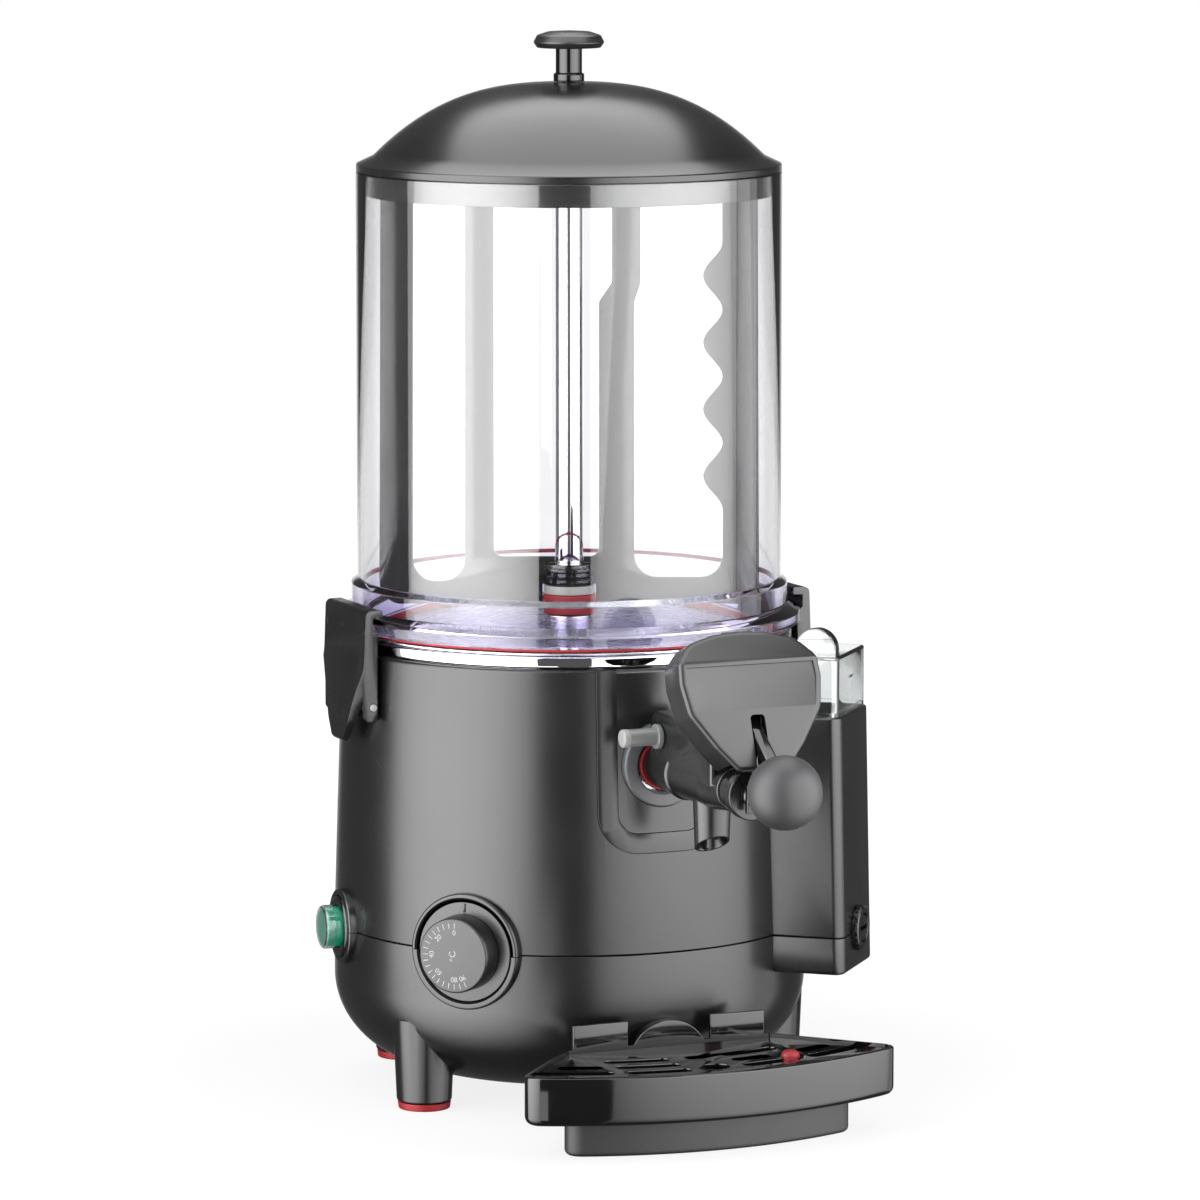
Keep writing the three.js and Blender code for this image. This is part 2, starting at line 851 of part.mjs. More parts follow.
function switchBody() {
  const front = switchBossReach + edgeRound - switchBezelDepth - gap;
  const half = switchBodyWidth / 2;
  const body = block([-half, -front, controlZ - half], [half, -front + switchBodyDepth, controlZ + half]);
  const well = frontBar(switchButtonRadius + runGap, front - switchTravel - gap * 2, front + overrun, controlZ);
  return cut(body, well);
}

function switchButton() {
  const back = switchBossReach + edgeRound - switchBezelDepth - gap;
  return frontBar(switchButtonRadius, back, back + switchBezelDepth + switchButtonDepth - switchBootWall, controlZ);
}

// The clear cap closes over the button's end
function switchBoot() {
  const buttonFront = switchBossReach + edgeRound - gap + switchButtonDepth - switchBootWall;
  const front = buttonFront + switchBootWall + gap;
  const back = front - switchBootDepth;
  const inner = switchButtonRadius + gap;
  const profile = [
    [0, front],
    [switchBootRadius - edgeRound, front],
    [switchBootRadius, front - edgeRound],
    [switchBootRadius, back],
    [inner, back],
    [inner, buttonFront + gap],
    [0, buttonFront + gap],
  ];
  return facingFront(revolved(profile, middleSides), controlZ);
}

function addControls() {
  const dialSide = sideGroup(dialAngle);
  add('dial_bezel', dialBezel(), blackPlastic, dialSide);
  add('thermostat', thermostat(), greyPlastic, dialSide);
  add('dial_spindle', dialSpindle(), darkSteel, dialSide);
  add('dial', dialKnob(), blackPlastic, dialSide);
  const switchSide = sideGroup(switchAngle);
  add('switch_bezel', switchBezel(), glossBlack, switchSide);
  add('switch_body', switchBody(), blackPlastic, switchSide);
  add('switch_button', switchButton(), greenPlastic, switchSide);
  add('switch_boot', switchBoot(), clearPlastic, switchSide);
}

// Water gauge cover and drain

function coverBlockOf(inset, bottom, top) {
  const half = gaugeWidth / 2 - coverInset - inset;
  const reach = gaugeReach - gaugeTaper - coverInset - inset;
  const round = gaugeCornerRadius - coverInset - inset / 2;
  const corners = [[-half, -reach, round], [half, -reach, round], [half, -coverBack - inset, 0], [-half, -coverBack - inset, 0]];
  return prism(roundedOutline(corners), bottom, top);
}

function coverLipBlock(inset) {
  const half = gaugeWidth / 2 - gaugeWall - gap - inset;
  const reach = gaugeReach - gaugeTaper - gaugeWall - gap - inset;
  const round = gaugeCornerRadius / 2;
  const back = shellRadius + gap + inset;
  const corners = [[-half, -reach, round], [half, -reach, round], [half, -back, 0], [-half, -back, 0]];
  return prism(roundedOutline(corners), gaugeTopZ - coverSkirt, gaugeTopZ + gap + coverWall);
}

function archTab() {
  const centre = gaugeReach - gaugeTaper - coverInset - archRadius - edgeRound;
  const rise = coverTopZ + archRise;
  const left = gaugeWidth / 2 - coverInset - archDepth;
  const round = shifted(
    moved(bar(archRadius, 0, archDepth, middleSides), new THREE.Matrix4().makeRotationY(Math.PI / 2)),
    [-left - archDepth, -centre, rise],
  );
  const foot = block([-left - archDepth, -centre - archRadius, coverTopZ - coverWall], [-left, -centre + archRadius, rise]);
  return joined(cut(round, block([-gaugeWidth, -gaugeReach, 0], [0, 0, coverTopZ - coverWall])), foot);
}

function gaugeCover() {
  const bottom = gaugeTopZ + gap;
  let solid = cut(coverBlockOf(0, bottom, coverTopZ), coverBlockOf(coverWall, bottom - overrun, coverTopZ - coverWall));
  const lip = cut(coverLipBlock(0), coverBlockOf(coverWall + gaugeWall / 2, bottom - gaugeReach, coverTopZ - coverWall));
  solid = joined(solid, archTab(), cut(lip, bodyKeepOut()));
  const markReach = gaugeReach - gaugeTaper - coverInset;
  const half = levelMarkWidth / 2;
  const mark = block([-half, -markReach - levelMarkHeight / 2, levelMarkZ],
    [half, -markReach + edgeRound, levelMarkZ + levelMarkHeight]);
  return joined(solid, mark);
}

function bodyKeepOut() {
  return turned(bodyEnvelope(gap), -gaugeAngle);
}

function drainFitting() {
  const front = gaugeReach + drainRingDepth - gaugeTaper * drainRise();
  const seat = gaugeReach - gaugeTaper * drainRise() + gap;
  const neck = drainRingRadius - edgeRound;
  const profile = [
    [drainBoreRadius, seat - drainNeckLength],
    [neck, seat - drainNeckLength],
    [neck, seat],
    [drainRingRadius, seat],
    [drainRingRadius, front - edgeRound],
    [drainRingRadius - edgeRound, front],
    [drainBoreRadius, front],
    [drainBoreRadius, seat - drainNeckLength],
  ];
  return facingFront(revolved(profile, middleSides), drainZ);
}

function drainRise() {
  return (drainZ - gaugeBottomZ) / (gaugeTopZ - gaugeBottomZ);
}

function drainCap() {
  const front = gaugeReach + drainRingDepth - gaugeTaper * drainRise() - edgeRound / 2;
  const cap = frontBar(drainCapRadius, front - drainCapDepth, front, drainZ, smallSides);
  const half = drainSlotWidth / 2;
  const reach = drainCapRadius - edgeRound;
  const slot = block([-reach, -front - overrun, drainZ - half], [reach, -front + drainSlotDepth, drainZ + half]);
  return cut(cap, slot);
}

function addGauge() {
  const side = sideGroup(gaugeAngle);
  add('gauge_cover', gaugeCover(), clearPlastic, side);
  add('drain_fitting', drainFitting(), blackPlastic, side);
  add('drain_cap', drainCap(), glossBlack, side);
}

// Vessel, bowl, heater and drive

const rimBottomZ = shellTopZ + gap;
const rimTopZ = rimBottomZ + rimHeight;
const flangeTopZ = rimTopZ + gap + bowlFlangeThick;
const gasketBottomZ = flangeTopZ + gap;
const tankBottomZ = gasketBottomZ + gasketHeight + gap;
const bowlBottomZ = bowlFloorZ + bowlWall;

function bathVessel() {
  const inner = vesselRadius - vesselWall;
  const profile = [
    [motorShaftRadius + gap, vesselFloorZ],
    [vesselRadius, vesselFloorZ],
    [vesselRadius, rimBottomZ],
    [rimRadius - rimRound, rimBottomZ],
    [rimRadius, rimBottomZ + rimRound],
    [rimRadius, rimTopZ - rimRound],
    [rimRadius - rimRound, rimTopZ],
    [inner, rimTopZ],
    [inner, vesselFloorZ + vesselWall],
    [motorShaftRadius + gap, vesselFloorZ + vesselWall],
    [motorShaftRadius + gap, vesselFloorZ],
  ];
  const heaterHoles = [-1, 1].map((side) => heaterLeg(side, heaterTubeRadius + gap, overrun));
  const outlet = frontBar(spigotRadius + gap, bowlRadius, shellRadius, tapZ);
  return cut(revolved(profile), outlet, ...heaterHoles);
}

function bowlShellProfile() {
  const outer = [[sleeveRadius, bowlFloorZ], [bowlRadius - sleeveRadius * 2, bowlFloorZ]];
  const side = [[bowlRadius - bowlWall, bowlCornerZ], [bowlRadius, flangeTopZ - bowlFlangeThick]];
  const flange = [[bowlFlangeRadius, flangeTopZ - bowlFlangeThick], [bowlFlangeRadius, flangeTopZ]];
  const inner = [
    [bowlRadius - bowlWall, flangeTopZ],
    [bowlRadius - bowlWall * 2, bowlCornerZ + bowlWall],
    [bowlRadius - sleeveRadius * 2 - bowlWall, bowlBottomZ],
    [sleeveRadius, bowlBottomZ],
  ];
  return [...outer, ...side, ...flange, ...inner, outer[0]];
}

function productBowl() {
  const shell = revolved(bowlShellProfile());
  const floorZ = vesselFloorZ + vesselWall + gap;
  const sleeve = bar(sleeveRadius + edgeRound / 2, floorZ, sleeveTopZ, middleSides);
  const spigot = frontBar(spigotRadius, bowlRadius - sleeveRadius * 2, vesselRadius + vesselWall, tapZ);
  const bore = frontBar(spigotRadius - bowlWall, bowlRadius / 2, shellRadius, tapZ);
  const sleeveBore = bar(sleeveBoreRadius, floorZ - overrun, sleeveTopZ + overrun, middleSides);
  const inside = cut(spigot, bowlInside());
  return cut(joined(shell, sleeve, inside), common(bore, spigotSpace()), sleeveBore);
}

function bowlInside() {
  return revolved([
    [0, bowlBottomZ],
    [bowlRadius - sleeveRadius * 2 - bowlWall, bowlBottomZ],
    [bowlRadius - bowlWall * 2, bowlCornerZ + bowlWall],
    [bowlRadius - bowlWall * 2, flangeTopZ],
    [0, flangeTopZ],
  ]);
}

function spigotSpace() {
  return block([-spigotRadius, -shellRadius, bowlFloorZ], [spigotRadius, -bowlRadius / 2, flangeTopZ]);
}

function heaterLeg(side, radius, extra = 0) {
  const leg = bar(radius, heaterZ - heaterLegLength - extra, heaterZ, pinSides);
  return shifted(leg, [side * heaterLegSpread, heaterRingRadius, 0]);
}

function heater() {
  const loop = new THREE.TorusGeometry(heaterRingRadius, heaterTubeRadius, pinSides, bigSides / 2);
  const ringSolid = shifted(solidOf(loop), [0, 0, heaterZ]);
  return joined(ringSolid, heaterLeg(-1, heaterTubeRadius), heaterLeg(1, heaterTubeRadius));
}

function gearbox() {
  const top = vesselFloorZ - gap;
  const shaftHole = bar(motorShaftRadius + gap, top - gearboxHeight / 2, top + overrun, smallSides);
  return cut(bar(gearboxRadius, top - gearboxHeight, top, middleSides), shaftHole);
}

function motorCan() {
  const top = vesselFloorZ - gap - gearboxHeight - gap;
  const profile = [
    [0, top - motorHeight],
    [motorRadius - edgeRound * 2, top - motorHeight],
    [motorRadius, top - motorHeight + edgeRound * 2],
    [motorRadius, top],
    [0, top],
  ];
  return revolved(profile, middleSides);
}

function motorShaft() {
  return bar(motorShaftRadius, vesselFloorZ - gap - gearboxHeight / 2 + gap, motorShaftTopZ, smallSides);
}

function cutoutSwitch() {
  const disc = bar(cutoutRadius, vesselFloorZ - gap - cutoutHeight, vesselFloorZ - gap, smallSides);
  return shifted(disc, [0, -vesselRadius / 2, 0]);
}

function cordGland() {
  const wallFace = glandWallReach();
  const nut = facingFront(ring(glandBoreRadius, glandNutRadius, wallFace, wallFace + glandNutLength, nutSides), glandZ);
  const neck = facingFront(ring(glandBoreRadius, glandRadius, wallFace - shellWall * 2, wallFace, smallSides), glandZ);
  const tip = wallFace + glandLength;
  const nose = facingFront(revolved([
    [glandBoreRadius, wallFace],
    [glandRadius, wallFace],
    [glandRadius, tip - glandNutLength],
    [glandRadius - glandBoreRadius / 2, tip],
    [glandBoreRadius, tip],
    [glandBoreRadius, wallFace],
  ], smallSides), glandZ);
  return joined(nut, neck, nose);
}

function glandWallReach() {
  return shellRadius + gap;
}

function addVessels() {
  add('bath_vessel', bathVessel(), steel);
  add('product_bowl', productBowl(), steel);
  add('heater', heater(), darkSteel);
  add('gearbox', gearbox(), darkSteel);
  add('motor_can', motorCan(), steel);
  add('motor_shaft', motorShaft(), steel);
  add('cutout_switch', cutoutSwitch(), brass, sideGroup(cutoutAngle));
  add('cord_gland', cordGland(), blackPlastic, sideGroup(glandAngle));
}

// Tank, seals and agitator

function tank() {
  const inner = tankRadius - tankWall;
  const lipTop = tankBottomZ + tankLipHeight;
  const profile = [
    [inner, tankBottomZ],
    [tankLipRadius, tankBottomZ],
    [tankLipRadius, lipTop],
    [tankRingRadius + edgeRound, tankRingZ],
    [tankRingRadius, tankRingZ],
    [tankRingRadius, tankStepZ - edgeRound * 2],
    [tankRadius, tankStepZ],
    [tankRadius, tankTopZ],
    [inner, tankTopZ],
    [inner, tankBottomZ],
  ];
  return revolved(profile);
}

function gasket() {
  return ring(gasketInnerRadius, gasketRadius, gasketBottomZ, gasketBottomZ + gasketHeight);
}

const sealBottomZ = sleeveTopZ + gap;
const bushBottomZ = sealBottomZ + sealRingHeight + gap;
const capBottomZ = bushBottomZ + bushHeight + gap;
const capTopZ = capBottomZ + capHeight;

function sealRing() {
  const top = sealBottomZ + sealRingHeight;
  const middle = (sealBottomZ + top) / 2;
  const inner = motorShaftRadius + gap;
  const profile = [
    [inner, sealBottomZ],
    [sealRadius, sealBottomZ],
    [sealRadius, middle - edgeRound],
    [sealRadius - edgeRound, middle],
    [sealRadius, middle + edgeRound],
    [sealRadius, top],
    [inner, top],
    [inner, sealBottomZ],
  ];
  return revolved(profile, middleSides);
}

function sealBush() {
  return ring(motorShaftRadius + gap, sealRadius, bushBottomZ, bushBottomZ + bushHeight, middleSides);
}

// The cap on the shaft's foot grips the paddle in two side slots
function shaftCap() {
  const middle = (capBottomZ + capTopZ) / 2;
  const inner = shaftRadius + gap;
  const profile = [
    [inner, capBottomZ],
    [capRadius, capBottomZ],
    [capRadius, middle - capGrooveDepth * 2],
    [capRadius - capGrooveDepth, middle - capGrooveDepth],
    [capRadius - capGrooveDepth, middle + capGrooveDepth],
    [capRadius, middle + capGrooveDepth * 2],
    [capRadius, capTopZ],
    [inner, capTopZ],
    [inner, capBottomZ],
  ];
  const half = paddleThick / 2 + gap;
  const slots = [-1, 1].map((side) => {
    const near = side * (capRadius - gripDepth - gap);
    const far = side * (capRadius + overrun);
    return block([Math.min(near, far), -half, capBottomZ - overrun], [Math.max(near, far), half, capTopZ + overrun]);
  });
  return cut(revolved(profile, middleSides), ...slots);
}

function shaftTube() {
  const top = windowTopZ - clipWeb - gap * 2;
  const tube = bar(shaftRadius, capBottomZ, top, middleSides);
  const lowBore = bar(shaftBoreRadius, capBottomZ - overrun, motorShaftTopZ + gap, smallSides);
  const highBore = bar(clipPegRadius + gap, top - clipPegLength - gap, top + overrun, pinSides);
  return cut(tube, lowBore, highBore);
}

// The paddle's right hand window has a wavy edge
function waveEdge(right) {
  const points = [];
  for (let step = 0; step <= waveCount * waveSteps; step += 1) {
    const turn = (step / waveSteps) * Math.PI * 2;
    const height = waveTopZ - (step / waveSteps) * waveLength;
    points.push([right - (waveDepth * (1 - Math.cos(turn))) / 2, height]);
  }
  return points;
}

function lastWindow() {
  const right = paddleHalfWidth - paddleStrip + edgeRound;
  const low = roundedOutline([
    [lastStepLeft, middleStepZ, 0],
    [lastStepLeft, lastWindowZ, paddleCorner],
    [right, lastWindowZ, paddleCorner],
    [right, waveTopZ - waveLength * waveCount, 0],
  ]);
  const wave = waveEdge(right).reverse().slice(1);
  const high = roundedOutline([
    [right, waveTopZ, 0],
    [right, windowTopZ, windowCorner],
    [lastWindowLeft, windowTopZ, windowCorner],
    [lastWindowLeft, middleStepZ + windowCorner, 0],
  ]).slice(1);
  return [...low, ...wave, ...high];
}

function firstWindow() {
  const left = paddleStrip - paddleHalfWidth;
  return roundedOutline([
    [left, firstWindowZ, paddleCorner],
    [-firstWindowRight, firstWindowZ, paddleCorner],
    [-firstWindowRight, windowTopZ, windowCorner],
    [left, windowTopZ, windowCorner],
  ]);
}

function middleWindow() {
  return roundedOutline([
    [-middleWindowLeft, middleWindowZ, windowCorner],
    [middleStepRight, middleWindowZ, windowCorner],
    [middleStepRight, middleStepZ - windowCorner, 0],
    [middleWindowRight, middleStepZ + windowCorner, 0],
    [middleWindowRight, windowTopZ, windowCorner],
    [-middleWindowLeft, windowTopZ, windowCorner],
  ]);
}

function paddleOutline() {
  const notch = capRadius - gripDepth;
  const sealRoom = sealRadius + runGap;
  const half = paddleHalfWidth;
  return roundedOutline([
    [-half, paddleBottomZ, paddleCorner],
    [-sealRoom, paddleBottomZ, 0],
    [-sealRoom, capBottomZ, 0],
    [-notch, capBottomZ, 0],
    [-notch, capTopZ + gap, 0],
    [notch, capTopZ + gap, 0],
    [notch, capBottomZ, 0],
    [sealRoom, capBottomZ, 0],
    [sealRoom, paddleBottomZ, 0],
    [half, paddleBottomZ, paddleCorner],
    [half, paddleTopZ, windowCorner],
    [-half, paddleTopZ, windowCorner],
  ]);
}

function paddle() {
  const half = paddleThick / 2;
  const windows = [firstWindow(), middleWindow(), lastWindow()];
  const sheet = frontProfile(paddleOutline(), -half, half, windows);
  const web = windowTopZ + gap;
  const notchHalf = clipWidth / 2 + gap;
  const notch = block([-notchHalf, -paddleThick, windowTopZ - overrun], [notchHalf, paddleThick, web]);
  const shaftSlot = bar(shaftRadius + gap, capTopZ, windowTopZ, middleSides);
  return cut(sheet, notch, shaftSlot);
}

function paddleClip() {
  const bottom = windowTopZ - clipWeb - gap;
  const halfWidth = clipWidth / 2;
  const halfDepth = clipDepth / 2;
  const body = block([-halfWidth, -halfDepth, bottom], [halfWidth, halfDepth, bottom + clipHeight]);
  const slotHalf = paddleThick / 2 + gap;
  const slot = block([-clipWidth, -slotHalf, bottom + clipWeb], [clipWidth, slotHalf, paddleTopZ + overrun]);
  const peg = bar(clipPegRadius, bottom - clipPegLength, bottom + edgeRound, pinSides);
  return joined(cut(body, slot), peg);
}

function addTank() {
  add('tank', tank(), clearPlastic);
  add('tank_gasket', gasket(), redRubber);
  add('seal_ring', sealRing(), redRubber);
  add('seal_bush', sealBush(), whitePlastic);
  const agitator = sideGroup(paddleAngle);
  add('shaft_cap', shaftCap(), glossBlack, agitator);
  add('shaft_tube', shaftTube(), steel, agitator);
  add('paddle', paddle(), greyPlastic, agitator);
  add('paddle_clip', paddleClip(), glossBlack, agitator);
}

// Lid

const lidSeatZ = tankTopZ + gap;

function domeProfile(inset) {
  const points = [];
  for (let step = 0; step <= domeSteps; step += 1) {
    const share = step / domeSteps;
    const drop = (lidApexZ - lidShoulderZ) * share ** domePowerShare;
    points.push([(lidShoulderRadius - inset / 2) * share, lidApexZ - inset - drop]);
  }
  return points;
}

function lidDome() {
  const rimTop = lidSeatZ + lidRimHeight;
  const skirtOuter = tankRadius - tankWall - runGap;
  const skirtInner = skirtOuter - lidSkirtWall;
  const outside = [
    ...domeProfile(0),
    [lidRimRadius - edgeRound, rimTop],
    [lidRimRadius, rimTop - edgeRound],
    [lidRimRadius, lidSeatZ],
    [skirtOuter, lidSeatZ],
    [skirtOuter, lidSeatZ - lidSkirtDrop],
    [skirtInner, lidSeatZ - lidSkirtDrop],
    [skirtInner, lidSeatZ],
  ];
  const dome = revolved([...outside, ...domeProfile(lidWall).reverse()]);
  return cut(dome, bar(stemScrewRadius + gap, lidApexZ - lidWall - overrun, lidApexZ + overrun, pinSides));
}

function knobStem() {
  const bottom = lidApexZ + gap;
  const screwBottom = lidApexZ - lidWall - gap;
  return revolved([
    [0, screwBottom],
    [stemScrewRadius, screwBottom],
    [stemScrewRadius, bottom],
    [stemCollarRadius, bottom],
    [stemCollarRadius, bottom + stemCollarHeight - edgeRound],
    [stemRadius, bottom + stemCollarHeight],
    [stemRadius, stemTopZ],
    [0, stemTopZ],
  ], middleSides);
}

function knobCap() {
  const bottom = stemTopZ - edgeRound;
  const top = stemTopZ + knobHeight;
  const seat = stemRadius + gap;
  return revolved([
    [0, stemTopZ + gap],
    [seat, stemTopZ + gap],
    [seat, bottom],
    [knobRadius - edgeRound * 2, bottom + edgeRound],
    [knobRadius, bottom + knobEdgeZ],
    [knobRadius - edgeRound * 2, top - edgeRound * 2],
    [knobRadius - edgeRound * 7, top - edgeRound / 2],
    [0, top],
  ], middleSides);
}

function addLid() {
  add('lid_dome', lidDome(), blackPlastic);
  add('lid_stem', knobStem(), blackPlastic);
  add('lid_knob', knobCap(), blackPlastic);
}

// Latches

function latchPlateOutline() {
  const hookTop = latchTopZ;
  const hookLow = latchTopZ - latchHookThick;
  const topReach = tankLipRadius + gap * 3 + latchPlateThick;
  const pivotReach = latchPivotReach + latchLugRadius + gap * 2;
  return [
    [latchHookReach, hookLow],
    [topReach - latchPlateThick, hookLow],
    [topReach - latchPlateThick, latchPivotZ + latchBracketHeight],
    [pivotReach, latchPivotZ],
    [latchTipReach - latchPlateThick, latchTipZ + latchPlateThick / 2],
    [latchTipReach - latchPlateThick / 2, latchTipZ],
    [latchTipReach, latchTipZ + latchPlateThick / 2],
    [pivotReach + latchPlateThick + edgeRound / 2, latchPivotZ],
    [topReach + edgeRound, (latchPivotZ + hookTop) / 2],
    [topReach, hookTop - edgeRound * 3],
    [topReach - edgeRound * 2, hookTop],
    [latchHookReach, hookTop],
  ];
}

// Seen from outside the latch narrows to a rounded tip
function latchFrontOutline() {
  const half = latchWidth / 2;
  const hip = latchPivotZ - latchBracketHeight / 2;
  return roundedOutline([
    [-half, hip, edgeRound * 4],
    [-half / 2, latchTipZ - edgeRound, edgeRound * 6],
    [half / 2, latchTipZ - edgeRound, edgeRound * 6],
    [half, hip, edgeRound * 4],
    [half, latchTopZ + overrun, 0],
    [-half, latchTopZ + overrun, 0],
  ]);
}

function latchCheekOutline() {
  const outer = latchPivotReach + latchLugRadius + gap * 2 + edgeRound;
  const low = latchPivotZ - latchBracketHeight / 2;
  return [
    [latchCheekReach, low + edgeRound * 2],
    [latchCheekReach + edgeRound * 2, low],
    [outer, low],
    [outer, latchCheekTopZ - edgeRound],
    [latchCheekReach + edgeRound * 4, latchCheekTopZ],
    [latchCheekReach, latchCheekTopZ - edgeRound * 4],
  ];
}

function latch() {
  const half = latchWidth / 2;
  const plate = sideProfile(latchPlateOutline(), -half, half);
  const trimmed = common(plate, frontProfile(latchFrontOutline(), vesselRadius, gaugeReach));
  const cheeks = [-half, half - latchCheek].map((left) => sideProfile(latchCheekOutline(), left, left + latchCheek));
  const hole = crossBar(latchPinRadius + gap, -latchWidth, latchWidth, latchPivotReach, latchPivotZ, pinSides);
  return cut(joined(trimmed, ...cheeks), hole);
}

function latchPin() {
  const half = latchWidth / 2;
  return crossBar(latchPinRadius, -half, half, latchPivotReach, latchPivotZ, pinSides);
}

function latchBracket() {
  const half = latchWidth / 2 - latchCheek - gap;
  const low = latchPivotZ - latchBracketHeight / 2;
  const high = latchPivotZ + latchBracketHeight / 2;
  const base = block([-half, -latchPivotReach, low], [half, -vesselRadius, high]);
  const lug = crossBar(latchLugRadius, -half, half, latchPivotReach, latchPivotZ, smallSides);
  const hole = crossBar(latchPinRadius + gap, -latchWidth, latchWidth, latchPivotReach, latchPivotZ, pinSides);
  return cut(joined(base, lug), bodyEnvelope(gap), hole);
}

function addLatches() {
  latchAngles.forEach((angle) => {
    const side = angle < 0 ? 'left' : 'right';
    const group = sideGroup(angle);
    add(`latch_${side}`, latch(), blackPlastic, group);
    add(`latch_pin_${side}`, latchPin(), steel, group);
    add(`latch_bracket_${side}`, latchBracket(), blackPlastic, group);
  });
}

// Tap

const rodFrontNeck = rodHeadReach - rodHeadThick;
const rodBackNeck = rodFrontNeck - rodNeckGap;

function tapCollar() {
  const back = collarReach - collarDepth;
  return facingFront(revolved([
    [collarBoreRadius, back - collarFlangeDepth],
    [collarFlangeRadius, back - collarFlangeDepth],
    [collarFlangeRadius, back],
    [collarRadius, back],
    [collarRadius, collarReach - edgeRound],
    [collarRadius - edgeRound, collarReach],
    [collarBoreRadius, collarReach],
    [collarBoreRadius, back - collarFlangeDepth],
  ], middleSides), tapZ);
}

function tapRing() {
  const loop = new THREE.TorusGeometry(ringRadius - ringTubeRadius, ringTubeRadius, pinSides, middleSides);
  return shifted(facingFront(solidOf(loop), tapZ), [0, -collarReach + ringTubeRadius * 2, 0]);
}

function barrel() {
  const groove = ringTubeRadius + gap;
  const grooveReach = collarReach - ringTubeRadius * 2;
  const floor = ringRadius - ringTubeRadius * 2 - gap;
  const half = beadWidth / 2;
  return facingFront(revolved([
    [0, barrelBackReach],
    [barrelRadius, barrelBackReach],
    [barrelRadius, grooveReach - groove],
    [floor, grooveReach - groove],
    [floor, grooveReach + groove],
    [barrelRadius, grooveReach + groove],
    [barrelRadius + edgeRound, beadReach - half],
    [beadRadius, beadReach],
    [barrelRadius + edgeRound, beadReach + half],
    [barrelRadius + edgeRound, spoutReach + spoutRadius],
    [barrelRadius - edgeRound, barrelFrontReach],
    [0, barrelFrontReach],
  ], middleSides), tapZ);
}

function spoutTube() {
  const outer = taperedBar(spoutRadius * spoutTopWidthShare, spoutRadius, spoutBottomZ, tapZ, smallSides);
  return shifted(outer, [0, -spoutReach, 0]);
}

function spoutBore() {
  const bore = taperedBar(spoutBoreRadius * spoutTopWidthShare, spoutBoreRadius, spoutBottomZ - overrun, tapZ, smallSides);
  return shifted(bore, [0, -spoutReach, 0]);
}

// The spout's mouth is cut at a slant, lower towards the machine
function spoutSlant() {
  const near = spoutReach - spoutRadius - overrun;
  const far = spoutReach + spoutRadius + overrun;
  const outline = [
    [near, spoutBottomZ - overrun * 2],
    [far, spoutBottomZ - overrun * 2],
    [far, spoutBottomZ + spoutCutDrop],
    [near, spoutBottomZ],
  ];
  return sideProfile(outline, -spoutRadius - overrun, spoutRadius + overrun);
}

// Two low fins inside the mouth steady the stream
function spoutRibs() {
  const half = spoutRibThick / 2;
  const near = spoutBoreRadius - spoutRibDepth;
  const top = tapZ - barrelRadius - edgeRound * 2;
  const fins = [-1, 1].map((side) => {
    const low = Math.min(side * near, side * spoutRadius);
    const high = Math.max(side * near, side * spoutRadius);
    return block([-half, low - spoutReach, spoutBottomZ], [half, high - spoutReach, top]);
  });
  return joined(...fins);
}

function tapHead() {
  const half = headWidth / 2;
  const outline = [
    [headBackReach, tapZ],
    [headFrontReach, tapZ],
    [headFrontReach, headTopZ - edgeRound],
    [headFrontReach - edgeRound, headTopZ],
    [headBackReach + edgeRound * 4, headTopZ],
    [headBackReach, headTopZ - edgeRound * 5],
  ];
  const head = sideProfile(outline, -half, half);
  const lockHole = crossBar(lockPinRadius + gap, -headWidth, lockPinSink - half + gap, lockPinReach, lockPinZ);
  return cut(head, lockHole);
}

// Two cheeks carry the lever's pin above the barrel's front end
function tapCheeks() {
  const outline = [
    [headFrontReach - edgeRound * 4, tapZ + capFlangeRadius + edgeRound * 3],
    [cheekFrontReach, tapZ + capFlangeRadius + edgeRound * 6],
    [cheekFrontReach, cheekTopZ - edgeRound * 3],
    [cheekFrontReach - edgeRound * 3, cheekTopZ],
    [barrelFrontReach, cheekTopZ],
    [headFrontReach - edgeRound * 4, headTopZ],
  ];
  const inner = cheekGap / 2;
  return [-inner - cheekWall, inner].map((left) => sideProfile(outline, left, left + cheekWall));
}

function tapBody() {
  let solid = joined(barrel(), spoutTube(), tapHead(), ...tapCheeks());
  const bore = frontBar(barrelBoreRadius, barrelBoreBack, barrelFrontReach + overrun, tapZ);
  const back = frontBar(barrelBoreRadius, barrelBackReach - overrun, barrelBoreBack + overrun, tapZ);
  solid = cut(solid, bore, back, spoutBore(), spoutSlant());
  solid = joined(solid, common(cut(spoutRibs(), spoutSlant()), spoutTube()));
  const pinHole = crossBar(leverPinRadius + gap, -headWidth, headWidth, leverPivotReach, leverPivotZ, pinSides);
  return cut(solid, pinHole, leverSweep());
}

// Room for the lever's hub and arm between the cheeks
function leverSweep() {
  const half = cheekGap / 2;
  const low = headTopZ - edgeRound * 8;
  return block([-half, -ballReach, low], [half, -headFrontReach + edgeRound * 2, cheekTopZ + overrun]);
}

function tapCap() {
  const bore = rodRadius + gap;
  return facingFront(revolved([
    [bore, barrelFrontReach - capFlangeRadius / 2],
    [capPlugRadius, barrelFrontReach - capFlangeRadius / 2],
    [capPlugRadius, barrelFrontReach + gap],
    [capNeckRadius, barrelFrontReach + gap],
    [capNeckRadius, capFlangeBack],
    [capFlangeRadius, capFlangeBack],
    [capFlangeRadius, capFlangeFront - edgeRound],
    [capFlangeRadius - edgeRound, capFlangeFront],
    [bore, capFlangeFront],
    [bore, barrelFrontReach - capFlangeRadius / 2],
  ], middleSides), tapZ);
}

